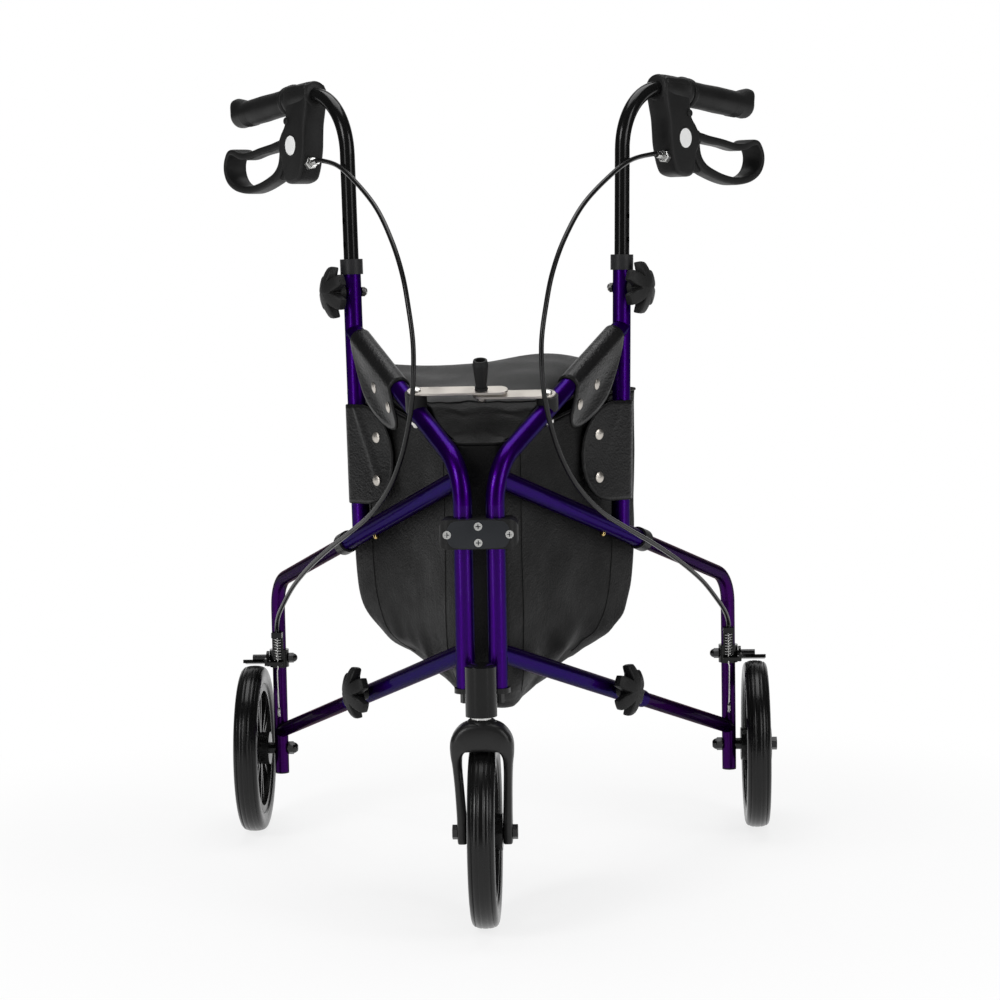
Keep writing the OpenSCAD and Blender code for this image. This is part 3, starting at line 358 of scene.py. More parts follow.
def group(name, values, outputs, kind=FLOAT):
    """An empty node group: a vector, inputs with their first values, and outputs of one kind."""
    tree = bpy.data.node_groups.new(name, "ShaderNodeTree")
    tree.interface.new_socket("Vector", in_out="INPUT", socket_type=VECTOR)
    for label, value in values.items():
        value_kind = COLOR if isinstance(value, tuple) else FLOAT
        tree.interface.new_socket(label, in_out="INPUT", socket_type=value_kind).default_value = value
    for label in outputs:
        tree.interface.new_socket(label, in_out="OUTPUT", socket_type=kind)
    print("group", name, "gives", outputs)
    return tree, tree.nodes.new("NodeGroupInput"), tree.nodes.new("NodeGroupOutput")


# %% Grain: the fine pebbled skin of moulded plastic
grain, g_in, g_out = group("Grain", {"Scale": 900.0}, ["Height", "Mask"])
fine = add(grain, NOISE, {"Detail": 3.0, "Roughness": 0.6})
broad = add(grain, NOISE, {"Scale": 35.0, "Detail": 4.0})
link(grain, (g_in, "Vector", fine, "Vector"), (g_in, "Scale", fine, "Scale"), (g_in, "Vector", broad, "Vector"),
     (fine, "Fac", g_out, "Height"), (broad, "Fac", g_out, "Mask"))

# %% Rub: broad soft patches where hands and dust have dulled or brightened a surface
rub, r_in, r_out = group("Rub", {"Scale": 20.0, "Low": 0.3, "High": 0.5}, ["Value"])
cloud = add(rub, NOISE, {"Detail": 5.0, "Roughness": 0.62})
spread = add(rub, RANGE, {"From Min": 0.3, "From Max": 0.7})
link(rub, (r_in, "Vector", cloud, "Vector"), (r_in, "Scale", cloud, "Scale"), (cloud, "Fac", spread, "Value"),
     (r_in, "Low", spread, "To Min"), (r_in, "High", spread, "To Max"), (spread, "Result", r_out, "Value"))

# %% Flake: small cells of slightly different brightness, as in metallic paint
flake, f_in, f_out = group("Flake", {"Scale": 2500.0, "Deep": (0, 0, 0, 1), "Bright": (1, 1, 1, 1)}, ["Color"], COLOR)
cells = add(flake, CELLS)
tone = mixer(flake)
link(flake, (f_in, "Vector", cells, "Vector"), (f_in, "Scale", cells, "Scale"), (cells, "Color", tone, MIX_FAC),
     (f_in, "Deep", tone, MIX_A), (f_in, "Bright", tone, MIX_B), (tone, MIX_RESULT, f_out, "Color"))

# %% Pebble: the raised cells of leatherette, with finer wrinkles between them
pebble, p_in, p_out = group("Pebble", {"Scale": 700.0}, ["Height", "Mask"])
cells = add(pebble, CELLS, feature="SMOOTH_F1")
creases = add(pebble, NOISE, {"Scale": 160.0, "Detail": 5.0, "Roughness": 0.6})
soft = add(pebble, NOISE, {"Scale": 16.0, "Detail": 3.0})
both = add(pebble, MATH, {1: 0.7}, operation="MULTIPLY_ADD")
link(pebble, *[(p_in, "Vector", node, "Vector") for node in (cells, creases, soft)], (p_in, "Scale", cells, "Scale"),
     (cells, "Distance", both, 0), (creases, "Fac", both, 2), (both, "Value", p_out, "Height"),
     (soft, "Fac", p_out, "Mask"))

# %% Weave: two sets of threads that cross, on the cloth's own UV map in metres
weave, w_in, w_out = group("Weave", {"Scale": 300.0}, ["Height", "Mask"])
warp, weft = [add(weave, "ShaderNodeTexWave", {"Distortion": 0.4}, bands_direction=way) for way in "XY"]
slub = add(weave, NOISE, {"Scale": 90.0, "Detail": 4.0})
over = add(weave, MATH, operation="MAXIMUM")
link(weave, *[(w_in, "Vector", node, "Vector") for node in (warp, weft, slub)], (w_in, "Scale", warp, "Scale"),
     (w_in, "Scale", weft, "Scale"), (warp, "Fac", over, 0), (weft, "Fac", over, 1), (over, "Value", w_out, "Height"),
     (slub, "Fac", w_out, "Mask"))

# %% [markdown]
# ## Hard finishes
# The tubes are candy purple: dark violet metal flakes under a thin clear coat. Metal seen along its surface would turn
# white, so the paint has an edge tint that keeps it dark there. Stems and brake arms are gloss black paint, small
# fittings are zinc, and the moulded parts are nearly black plastic with a fine grain.

# %% Placing the groups in a material
def grey(value):
    """A colour without hue."""
    return value, value, value


def finish_base(name, color, metallic=0.0, coat=0.0, coat_rough=0.05, specular=0.5):
    """A material with its shader, its Object coordinates and the plain numbers on the shader's own sockets."""
    material = bpy.data.materials.new(name)
    material.use_nodes = True
    tree = material.node_tree
    shader = tree.nodes["Principled BSDF"]
    plain = {"Base Color": (*color, 1.0), "Metallic": metallic, "Coat Weight": coat, "Coat Roughness": coat_rough,
             "Specular IOR Level": specular}
    for key, value in plain.items():
        shader.inputs[key].default_value = value
    return material, tree, shader, add(tree, "ShaderNodeTexCoord").outputs["Object"]


def use(tree, which, vector, **values):
    """Places a group and sets its inputs by name."""
    node = add(tree, "ShaderNodeGroup", node_tree=which)
    tree.links.new(vector, node.inputs["Vector"])
    for key, value in values.items():
        node.inputs[key].default_value = value
    return node


def tint(tree, shader, fac, low, high):
    """Base colour between two colours by a mask."""
    node = mixer(tree, {MIX_A: (*low, 1.0), MIX_B: (*high, 1.0)})
    tree.links.new(fac, node.inputs[MIX_FAC])
    link(tree, (node, MIX_RESULT, shader, "Base Color"))


def skin(tree, shader, which, vector, scale, low, high, depth, distance):
    """A pattern group: its mask goes between two colours, and its height makes the bump."""
    pattern = use(tree, which, vector, Scale=scale)
    tint(tree, shader, pattern.outputs["Mask"], low, high)
    node = add(tree, "ShaderNodeBump", {"Strength": depth, "Distance": distance})
    link(tree, (pattern, "Height", node, "Height"), (node, "Normal", shader, "Normal"))


def dulled(tree, shader, at, scale, low, high):
    """Cloudy roughness between two values."""
    link(tree, (use(tree, rub, at, Scale=scale, Low=low, High=high), "Value", shader, "Roughness"))


# %% Candy paint on the tubes
def candy_paint(name, deep, bright, edge, rough):
    """Flaked metallic colour under a thin clear coat. Seen along the tube it keeps its own edge tint."""
    material, tree, shader, at = finish_base(name, bright, metallic=0.93, coat=0.08, coat_rough=0.03, specular=0.2)
    shader.inputs["Specular Tint"].default_value = (*edge, 1.0)
    flakes = use(tree, flake, at, Scale=2600.0, Deep=(*deep, 1.0), Bright=(*bright, 1.0))
    link(tree, (flakes, "Color", shader, "Base Color"))
    dulled(tree, shader, at, 14.0, rough - 0.05, rough + 0.07)
    return material


purple = candy_paint("candy_purple", (0.017, 0.0004, 0.066), (0.046, 0.001, 0.190), (0.18, 0.02, 0.18), 0.34)
# The rear legs and stays wear the same purple paint. This copy is darker and redder: painted shade, as the paint looks
# where they slope away from the light.
shaded_purple = candy_paint("candy_purple_painted_shade", (0.018, 0.0003, 0.036), (0.050, 0.001, 0.120), (0.29, 0.02, 0.14), 0.34)
print("paints:", purple.name, shaded_purple.name)


# %% Black paint, moulded plastic and rubber
def moulded(name, low, high, rough, grain_scale, depth, coat=0.0, specular=0.2, rub_scale=18.0, vary=1.0):
    """A nearly even colour with grain, cloudy roughness and a slight change of tone."""
    material, tree, shader, at = finish_base(name, high, coat=coat, specular=specular)
    skin(tree, shader, grain, at, grain_scale, low, high, depth, 0.0004)
    dulled(tree, shader, at, rub_scale, rough - 0.08 * vary, rough + 0.1 * vary)
    return material


black_paint = moulded("gloss_black_paint", grey(0.003), grey(0.006), 0.2, 260.0, 0.0, coat=0.12, vary=0.15)
black_plastic = moulded("grained_black_plastic", grey(0.006), grey(0.012), 0.46, 1100.0, 0.22)
knob_plastic = moulded("knob_plastic", grey(0.008), grey(0.016), 0.5, 900.0, 0.25)
grey_plastic = moulded("satin_grey_plastic", (0.013, 0.013, 0.014), (0.026, 0.026, 0.027), 0.4, 900.0, 0.12)
fork_plastic = moulded("satin_fork_black", grey(0.006), grey(0.011), 0.34, 700.0, 0.08, specular=0.35)
rim_plastic = moulded("rim_black", grey(0.003), grey(0.006), 0.24, 800.0, 0.03, specular=0.4)
grip_rubber = moulded("grip_rubber", grey(0.006), grey(0.013), 0.5, 420.0, 0.4)
tyre_rubber = moulded("tyre_rubber", grey(0.003), grey(0.0065), 0.24, 700.0, 0.04, rub_scale=11.0, specular=0.3)
sleeve_plastic = moulded("cable_sleeve", grey(0.004), grey(0.008), 0.26, 900.0, 0.0, specular=0.3, vary=0.15)
print("blacks and greys up to", sleeve_plastic.name)


# %% Plated metal
def plated(name, low, high, rough, stretch, depth):
    """Metal with fine brush lines: noise stretched along one direction."""
    material, tree, shader, at = finish_base(name, high, metallic=1.0)
    lines = add(tree, "ShaderNodeMapping", {"Scale": stretch})
    tree.links.new(at, lines.inputs["Vector"])
    skin(tree, shader, grain, lines.outputs["Vector"], 300.0, low, high, depth, 0.0002)
    dulled(tree, shader, at, 40.0, rough - 0.07, rough + 0.1)
    return material


EVEN, BRUSHED = (1.0, 1.0, 1.0), (0.06, 1.0, 1.0)
zinc = plated("bright_zinc", (0.52, 0.52, 0.51), (0.72, 0.72, 0.70), 0.26, EVEN, 0.08)
nickel = plated("satin_nickel", (0.50, 0.47, 0.43), (0.66, 0.62, 0.57), 0.36, BRUSHED, 0.2)
brass = plated("polished_brass", (0.62, 0.44, 0.16), (0.80, 0.60, 0.26), 0.22, EVEN, 0.05)
dark_zinc = plated("dark_zinc", (0.035, 0.035, 0.036), grey(0.075), 0.32, EVEN, 0.1)
print("metals up to", dark_zinc.name)


# %% Bolts that are dark at the wheels and bright above, and the last of the plastics
def bolt_finish(name, change_z):
    """Plated metal whose colour changes at a height, because one CAD piece holds the bolts of a whole side."""
    material, tree, shader, at = finish_base(name, grey(0.6), metallic=1.0)
    split = add(tree, "ShaderNodeSeparateXYZ")
    tree.links.new(at, split.inputs[0])
    high = add(tree, MATH, {1: change_z}, operation="GREATER_THAN")
    link(tree, (split, "Z", high, 0))
    tint(tree, shader, high.outputs[0], (0.045, 0.045, 0.046), (0.66, 0.65, 0.63))
    dulled(tree, shader, at, 40.0, 0.2, 0.38)
    return material


bolts = bolt_finish("bolts", 0.3)
lever_plastic = moulded("lever_plastic", grey(0.008), grey(0.015), 0.46, 1100.0, 0.2)
head_black = moulded("head_gloss_black", grey(0.004), grey(0.008), 0.2, 500.0, 0.0, vary=0.2)
plate_grey = moulded("clamp_plate_grey", (0.013, 0.014, 0.016), (0.022, 0.024, 0.028), 0.5, 1000.0, 0.2)
badge_white = moulded("bare_badge", (0.80, 0.80, 0.79), (0.88, 0.88, 0.87), 0.34, 900.0, 0.04)
print("materials:", len(bpy.data.materials))

# %% Finishes on the CAD pieces
FINISH = (
    (purple, "front_tube handle_post rails"), (shaded_purple, "rear_leg rear_stay"), (head_black, "head_tube head_cap"),
    (black_paint, "brake_bracket brake_arm stem hinge_plate"), (bolts, "fasteners"), (dark_zinc, "front_axle"),
    (zinc, "brake_spring cable_adjuster head_bearings clamp_screws"), (nickel, "lock_bar"), (brass, "snap_button"),
    (black_plastic, "saddle bag bag_flaps brake_housing brake_lever post_clamp"), (grey_plastic, "bushes"),
    (knob_plastic, "height_knob rail_knob lock_knob"), (fork_plastic, "fork"), (sleeve_plastic, "cable"),
    (grip_rubber, "grip"), (rim_plastic, "rim front_rim"), (tyre_rubber, "tyre front_tyre"),
)
finish_of = {name: finish for finish, names in FINISH for name in names.split()}
for name, piece in nodes.items():
    plain = name.split("_", 1)[1] if name.startswith(("left_", "right_")) else name
    piece.data.materials.clear()
    piece.data.materials.append(finish_of[plain])
print("dressed", len(nodes), "CAD nodes")

# %% [markdown]
# ## The brake cables
# Each cable leaves the adjuster on its brake housing, hangs in a wide arc in front of the frame, follows the upper
# rail back and goes down into the anchor on the rear leg. The route repeats the points of the CAD model. The sleeve is
# stiff, so it is one smooth curve. Below the anchor hangs the bare wire with its crimped end.

# %% Cable route
CABLE_D = 5.0
ANCHOR_Z = 228.0
ANCHOR_LEAD = 16.0
ROUTE = [[262, 17, 757], [212, 19, 741], [150, 21, 712], [104, 24, 678], [75, 26, 645], [57, 28, 612], [46, 29, 580],
         [44, 30, 550], [49, 30, 522], [60, 30, 494], [80, 30, 462], [112, 30, 430], [160, 30, 400], [220, 28, 376],
         [285, 26, 352], [350, 24, 325], [410, 20, 297], [455, 16, 270], [482, 12, 253]]
NOZZLE_AT = (1.5, 4.0, -72.0)
NOZZLE_TURN = math.radians(7.0)
NOZZLE_RUNS, SEAT_RISES, ROUTE_STEPS = (17.4, 23.4), (10.0, 0.4), 9


def nozzle(length):
    """A point on the adjuster's axis, in the side frame's directions."""
    along, outward, up = NOZZLE_AT
    local = pts(along - length * math.cos(NOZZLE_TURN), outward + length * math.sin(NOZZLE_TURN), up)
    return from_post(from_handle(local))


def anchor(height):
    """A point above the seat of the cable anchor on the rear leg."""
    return pts(LEG_REACH - ANCHOR_LEAD * math.cos(HALF_OPEN), ANCHOR_LEAD * math.sin(HALF_OPEN), ANCHOR_Z + height)


route = np.vstack([*map(nozzle, NOZZLE_RUNS), ROUTE, *map(anchor, SEAT_RISES)])
cable_path = from_frame(spline(route, ROUTE_STEPS))

# %% Sleeve, wire, crimp and adjuster nut
WIRE_LOW, WIRE_R = 144, 0.8
WIRE_Y = LEG_Y - ANCHOR_LEAD - MIDDLE_Y
CRIMP = [[134.0, 1.0], [134.3, 1.5], [138, 1.5], [139, 1.25], [140, 1.5], [144.7, 1.5], [145.0, 1.0]]
NUT = [[-5.0, 5.9], [-4.9, 6.7], [1.8, 6.7], [2.6, 6.0], [2.7, 5.6], [5.4, 5.6], [5.5, 5.0]]
BOW, BOW_WAVE, BOW_TOP = 0.9, 26.0, 190
SLEEVE_REF, WIRE_REF, NUT_REF = (0.5, 0.85, 0.1), (1.0, 0.0, 0.0), (0.2, 0.1, 1.0)
sleeve = [rod(cable_path, CABLE_D / 2, 20, SLEEVE_REF)]
wire_z = np.linspace(WIRE_LOW, ANCHOR_Z, 30)
wire_bow = BOW * np.sin((wire_z - WIRE_LOW) / BOW_WAVE) * (wire_z < BOW_TOP)
wire = [rod(pts(LEG_X + wire_bow, WIRE_Y, wire_z), WIRE_R, 8, WIRE_REF)]
crimp_z, crimp_r = np.asarray(CRIMP).T
crimp = [rod(pts(LEG_X, WIRE_Y, crimp_z), crimp_r, 10, WIRE_REF)]
nut_run, nut_r = np.asarray(NUT).T
nut = [rod(from_frame(np.vstack([nozzle(run) for run in nut_run])), nut_r, 6, NUT_REF)]
both_sides("brake_wire", wire, zinc, "zinc", body="frame")
both_sides("wire_crimp", crimp, zinc, "zinc", body="frame")
both_sides("adjuster_nut", nut, zinc, "zinc", sharp=25, body="handle")
tubes = both_sides("cable_sleeve", sleeve, sleeve_plastic, "cable", node="cable")
for tube, (side, place, sign) in zip(tubes, SIDES):
    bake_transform(tube)
print("wire", round(ANCHOR_Z - WIRE_LOW), "mm long")

# %% [markdown]
# ## Brake springs
# A small steel spring stands between the cable anchor and the lug of the brake arm. The lug rises by less than two
# millimetres when the lever is squeezed; the spring is drawn as a fixed helix on the frame.

# %% Brake springs
SPRING_LOW, SPRING_HIGH, SPRING_R, SPRING_WIRE, SPRING_TURNS = 198.4, 225.6, 3.45, 1.1, 8
SPRING_KEEP, TURN_STEPS = 0.92, 24
wound = np.linspace(0, 1, SPRING_TURNS * TURN_STEPS + 1)
coil_turn = 2 * np.pi * SPRING_TURNS * wound
coil_z = SPRING_LOW + SPRING_WIRE + (SPRING_HIGH - SPRING_LOW - 2 * SPRING_WIRE) * wound
coil_path = pts(LEG_X + SPRING_R * np.cos(coil_turn), WIRE_Y + SPRING_R * np.sin(coil_turn), coil_z)
coil = [rod(coil_path, SPRING_WIRE / 2, 8, (0.0, 0.0, 1.0))]
springs = both_sides("brake_coil", coil, zinc, "zinc", body="frame", node="brake_spring")
for spring, (side, place, sign) in zip(springs, SIDES):
    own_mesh(spring)
print("spring turns", SPRING_TURNS, "over", round(SPRING_HIGH - SPRING_LOW, 1), "mm")

# %% [markdown]
# ## Brake levers
# The lever is a flat band bent into a loop. Its upper run lies under the grip, the far end widens to a curved paddle
# for the fingers, and both runs meet again at a plate that turns in the brake housing. The band is a flattened
# profile carried round a closed curve, and the profile's two half sizes change along it.

# %% Outlines and slabs
def edge_normals(outline):
    """Unit vectors in the plane, square to a closed outline."""
    ahead = unit(np.roll(outline, -1, axis=0) - np.roll(outline, 1, axis=0))
    return np.stack([ahead[:, 1], -ahead[:, 0]], -1)


def drawn_in(outline, inset):
    """A closed outline moved inwards by each of the insets: the sign of its area says which side is out."""
    x, y = outline.T
    out = edge_normals(outline) * np.sign(np.sum(x * np.roll(y, -1) - y * np.roll(x, -1)))
    return outline[None] - out[None] * inset[:, None, None]


def slab(outline, low, high, edge, steps=4):
    """A plate between two levels: its outline drawn in by a quarter circle of the edge's radius on both faces."""
    phi = np.linspace(-np.pi / 2, np.pi / 2, 2 * steps + 1)
    level = (low + high) / 2 + np.sign(phi) * ((high - low) / 2 - edge) + edge * np.sin(phi)
    return drawn_in(outline, edge * (1 - np.cos(phi))), level[:, None]


def handle_slab(outline, low, high, edge):
    """A slab in the handle's directions: its outline lies along and up, and its thickness goes outwards."""
    flat, level = slab(outline, low, high, edge)
    return barrel(handle_point(pts(flat[..., 0], level, flat[..., 1])))


square = np.array([[-1.0, -1], [1, -1], [1, 1], [-1, 1]])
print("a square drawn in by a fifth:", np.round(drawn_in(square, np.array([0.2]))[0, 0], 3))

# %% The lever's band and plate
BAND = [[57, -45, 5, 8], [80, -45.5, 4.6, 8], [105, -46, 4.3, 8], [128, -47.5, 4.2, 8.4], [143, -46, 4.0, 10.5],
        [155, -40.5, 3.6, 12.8], [164, -40.5, 3.3, 13.4], [172, -50, 3.2, 13.5], [173, -61, 3.2, 13.5],
        [167, -72, 3.3, 13.2], [153, -80.5, 3.8, 12], [132, -85, 4.3, 10], [110, -84.5, 4.6, 8.5], [88, -81, 5, 8],
        [72, -76.5, 5.6, 8], [61, -68, 6, 8], [56, -56, 6, 8]]
PLATE = [[25, -32], [40, -34], [62, -38], [68, -46], [62, -55], [61, -63], [66, -70], [70, -77], [64, -83], [54, -82],
         [40, -72], [25, -68], [13, -60], [9, -50], [13, -40]]
BAND_STEPS, BAND_POWER = 6, 2 / 5.5
PLATE_W, PLATE_ROUND = 5.0, 0.8


def band_loop(control):
    """A superellipse carried round a closed curve: half thickness in the loop's plane, half width across it."""
    line = closed_spline(control, BAND_STEPS)
    c, s = squared(circle(36), BAND_POWER, BAND_POWER)
    flat = line[:, None, :2] + edge_normals(line[:, :2])[:, None] * (line[:, 2:3] * c)[..., None]
    return handle_point(pts(flat[..., 0], line[:, 3:4] * s, flat[..., 1]))


lever_plate = handle_slab(closed_spline(PLATE, 5), -PLATE_W, PLATE_W, PLATE_ROUND)
lever = [grid(band_loop(BAND), wrap_i=True, wrap_j=True), lever_plate]
both_sides("lever_loop", lever, lever_plastic, "black_plastic", sharp=38, body="lever", node="brake_lever")
print("lever band rows", len(BAND) * BAND_STEPS)

# %% [markdown]
# ## Brake housings
# A housing is one moulding that is solid in front and above, and has a slot behind for the lever. It is lofted across
# its width: near the two cheeks its outline is whole, and in the middle the part of the outline behind the slot steps
# in to the slot's front wall and down to its floor. A collar closes it round the handle tube. On the outer cheek sits
# a round badge, left bare here.

# %% Outline of the housing and its slot
SHELL = [[-12, 9], [-4, 11.6], [6, 12.2], [12, 13], [20, 13.4], [28, 12.6], [32.5, 7], [33, -4], [33.4, -15],
         [37, -26], [46, -34.5], [52, -43], [52.4, -56], [48.4, -64], [47.2, -76], [44.5, -86], [37, -90],
         [26, -90.4], [16, -88], [9.5, -80], [4.8, -70], [0.6, -58], [-2.0, -44], [-4.5, -32], [-9, -20], [-12.6, -8]]
CHEEK_W, CHEEK_EDGE, REAR_EDGE = 13.75, 4.2, 36.0
SLOT_HALF, SLOT_TOP, SLOT_FLOOR, SLOT_FRONT, SLOT_FOOT = 5.4, -28.0, -79.5, 6.0, 12.0
SLOT_STEPS = [0, 0.3, 0.68, 1]
whole = closed_spline(SHELL, 5)
order = np.arange(len(whole))
in_slot = (whole[:, 1] < SLOT_TOP) & (whole[:, 1] > SLOT_FLOOR - 1) & (whole[:, 0] > REAR_EDGE)
first, last = order[in_slot][0], order[in_slot][-1]
walk = np.clip((order - first) / (last - first), 0, 1)
slot_a = np.interp(walk, SLOT_STEPS, [whole[first, 0], SLOT_FRONT, SLOT_FOOT, whole[last, 0]])
slot_u = np.interp(walk, SLOT_STEPS, [SLOT_TOP, SLOT_TOP, SLOT_FLOOR, SLOT_FLOOR])
stepped = np.where(in_slot[:, None], np.stack([slot_a, slot_u], -1), whole)
print("housing outline points", len(whole), "of them in the slot", int(in_slot.sum()))


# %% Housing shells and badges
WAIST_DEEP, WAIST_HALF, WAIST_REAR = 0.9, 7.0, 12
WAIST_TOP, WAIST_FOOT = (20, 50), (-86, -60)


def housing_body():
    """Levels across the width: the whole outline with a round edge on each cheek, the stepped one in the slot."""
    phi = np.linspace(-np.pi / 2, 0, 6)
    level = -CHEEK_W + CHEEK_EDGE + CHEEK_EDGE * np.sin(phi)
    cheek = drawn_in(whole, CHEEK_EDGE * (1 - np.cos(phi)))
    waist = WAIST_DEEP * smooth_step(-whole[:, 1], *WAIST_TOP) * smooth_step(whole[:, 1], *WAIST_FOOT)
    flat = np.concatenate([cheek, whole[None], stepped[None], stepped[None], whole[None], cheek[::-1]])
    n = np.concatenate([level, [-SLOT_HALF, -SLOT_HALF, SLOT_HALF, SLOT_HALF], -level[::-1]])
    hollow = np.exp(-((n / WAIST_HALF) ** 2))[:, None] * waist * (whole[:, 0] < WAIST_REAR)
    return barrel(handle_point(pts(flat[..., 0] + hollow, n[:, None], flat[..., 1])))


def cheek_disc(centre, radius, low, high, edge, columns=40):
    """A round slab on the outer cheek, between two levels above it."""
    ring = pts(centre[0] + radius * np.cos(circle(columns)), centre[1] + radius * np.sin(circle(columns)))
    return handle_slab(ring, CHEEK_W + low, CHEEK_W + high, edge)


COLLAR = [[-13.2, 8.2], [-13.4, 12.6], [-12.6, 13.8], [-11, 14.3], [-9, 13.9], [-8, 14.4], [0, 15], [14, 15.3],
          [27, 15.3], [28.4, 16.4], [30, 16.9], [33, 16.9], [34.6, 16.2], [35.4, 14], [35.4, 8.2]]
BADGE_AT, PIVOT_AT = (25, -50), (30, -23)
BADGE_R, SEAT_R, PIVOT_R = 10.5, 12.2, 4.2
badge = [cheek_disc(BADGE_AT, BADGE_R, -0.4, 0.8, 0.5)]
shell = [housing_body(), barrel(handle_point(turned(COLLAR))), cheek_disc(PIVOT_AT, PIVOT_R, -3.0, 2.2, 1.8, 24),
         cheek_disc(BADGE_AT, SEAT_R, -1.0, 0.35, 0.3)]
both_sides("housing_shell", shell, lever_plastic, "black_plastic", sharp=42, body="handle", node="brake_housing")
both_sides("housing_badge", badge, badge_white, "grey_plastic", sharp=40, body="handle")
print("housing parts", len(shell), "and a badge")

# %% [markdown]
# ## Grips
# A grip is a soft rubber tube with a flange by the housing, a slight swell for the palm, a few short ribs, and an end
# that rises to a lip on its upper side. Its radius is worked out along its length and turned round the handle; the lip
# is added where the upper side and the far end meet.

# %% Grips
GRIP = [[37, 8.2], [37, 14.6], [38, 16.2], [40, 16.6], [42.4, 16.4], [43.8, 15.2], [46, 14.2], [70, 14.0], [95, 14.6],
        [122, 14.3], [140, 14.0], [147, 14.2], [150.5, 13.6], [152.4, 11.5], [153, 7], [153, 0.02]]
RIB_PITCH, RIB_HEIGHT, LIP_LONG, LIP_HIGH = 4.0, 0.6, 7.5, 0.42
PALM, LIP_FROM, END_FROM, RIBS_FROM, RIBS_TO = (47, 139), (140, 151), (132, 150), (118, 121), (-137, -134)
grip_table = np.asarray(GRIP, float)
palm_a = np.linspace(*PALM, 93)
palm_r = np.interp(palm_a, grip_table[6:11, 0], grip_table[6:11, 1])
palm = np.stack([palm_a, palm_r], -1)
grip_row = np.vstack([grip_table[:7], palm, grip_table[10:]])
grip_a, grip_r = grip_row[:, :1], grip_row[:, 1:]
grip_turn = circle(56)
upper_side = np.clip(np.sin(grip_turn), 0, 1) ** 2.5
under_side = np.clip(-np.sin(grip_turn), 0, 1)
far_end = smooth_step(grip_a, *END_FROM) * (grip_r > 1)
rib_zone = smooth_step(grip_a, *RIBS_FROM) * smooth_step(-grip_a, *RIBS_TO)
ribs = RIB_HEIGHT * (rib_zone * np.clip(np.sin(grip_a * 2 * np.pi / RIB_PITCH), 0, 1)) * under_side
grip_len = grip_a + LIP_LONG * upper_side * smooth_step(grip_a, *LIP_FROM) * (grip_r > 1)
grip_rad = grip_r * (1 + LIP_HIGH * upper_side * far_end) + ribs
grip_body = [barrel(handle_point(pts(grip_len, grip_rad * np.cos(grip_turn), grip_rad * np.sin(grip_turn))))]
both_sides("grip_rubber", grip_body, grip_rubber, "grip", sharp=60, body="handle", node="grip")
print("grip rings", len(grip_row))

# %% [markdown]
# ## Star knobs
# Four star knobs clamp the height tubes and the rear rails. Seen along its screw a knob has six blunt lobes with deep
# valleys, and its face is a dome, so the lobes sweep back towards the tube. The radius is a function of the angle,
# and the height of the face falls with the square of the radius.

# %% Star knobs
def star(lobes=6, tip=27.0, valley=13.0, top=34.4, dome=9.0, columns=144):
    """Rows from the middle of the domed face over the rim and along the hollow back to the boss, as (x, y, out)."""
    theta = circle(columns)
    off = np.abs((theta * lobes / (2 * np.pi)) % 1 - 0.5) * 2
    reach = valley + (tip - valley) * np.clip((0.93 - off) / 0.5, 0, 1)
    inside = np.array([0.02, 0.25, 0.5, 0.7, 0.85, 0.94, 0.985, 1.0])[:, None]
    face_r = inside * reach
    face_h = top - dome * (face_r / tip) ** 2 - 1.2 * smooth_step(inside, 0.9, 1.0)
    rim_h = face_h[-1:] - np.array([1.6, 4.5, 6.6])[:, None]
    rim_r = np.array([1.012, 1.0, 0.985])[:, None] * reach
    back = np.array([0.94, 0.8, 0.66])[:, None]
    back_r = np.maximum(back * reach, 8.9)
    back_h = np.maximum(rim_h[-1:] - 0.6 + 3.2 * (1 - back), 16.2)
    boss_r = np.array([8.6, 8.5, 8.5, 8.0, 3.1])[:, None] + 0 * reach
    boss_h = np.array([16.0, 14.0, 10.6, 9.95, 9.95])[:, None] + 0 * reach
    r = np.vstack([face_r, rim_r, back_r, boss_r])
    return pts(r * np.cos(theta), r * np.sin(theta), np.vstack([face_h, rim_h, back_h, boss_h]))


BOLT_UP, KNOB_REACH = 256.5, 232.0
knob = star()
knob_x, knob_y, knob_out = knob[..., 0], knob[..., 1], knob[..., 2]
knob_z = LOWER_RAIL_Z - math.tan(RAIL_SLOPE) * KNOB_REACH
stars = {"height": from_frame(from_post(pts(knob_x, knob_out, BOLT_UP + knob_y))),
         "rail": from_frame(pts(KNOB_REACH + knob_x, knob_out, knob_z + knob_y))}
for label, points in stars.items():
    both_sides(label + "_star", [barrel(points)], knob_plastic, "black_plastic", sharp=30, body=label + "_screw",
               node=label + "_knob")
print("knob rows", knob.shape[:2])

# %% [markdown]
# ## Caster fork and clamp plate
# The fork is a casting like an upturned U: two thin blades that run into a domed crown over the wheel, with a short
# neck under the head tube. It is a flattened profile carried along that U, thin and deep on the blades, thick and
# wider at the crown. The clamp on the two posts has a raised plate in front, a flat slab with waisted ends.

# %% Fork casting
HEAD_Y = -25.0
BLADE = [[22.6, 83.4, 0, 3.2, 5.5], [22.6, 84.4, 0, 4.5, 8.8], [22.6, 88, 0, 4.9, 10.4], [22.6, 97, 0, 5.0, 10.8],
         [22.9, 112, 0.1, 4.7, 10.4], [23.9, 140, 0.4, 4.4, 10.2], [25.0, 166, 0.74, 4.6, 11.5],
         [25.0, 180, 0.9, 6.2, 14], [22.2, 191.4, 1, 8.9, 16], [15.4, 198, 1, 11.5, 17], [7.5, 200.2, 1, 12.6, 17.2],
         [0, 200.6, 1, 12.9, 17.2]]
NECK = [[213.9, 8.0], [213.9, 12.4], [213.0, 13.4], [210, 15.4], [205, 17.0], [198, 12]]
CROWN_RISE, CROWN_FROM, FORK_POWERS = 0.42, (168, 198), (0.42, 0.6)
half_blade = spline(BLADE, 5)
u_line = np.vstack([half_blade * np.array([-1.0, 1, 1, 1, 1]), half_blade[-2::-1]])
u_x, u_z, u_shift, u_thick, u_deep = (u_line[:, k:k + 1] for k in range(5))
u_dir = unit(np.gradient(u_line[:, :2], axis=0))
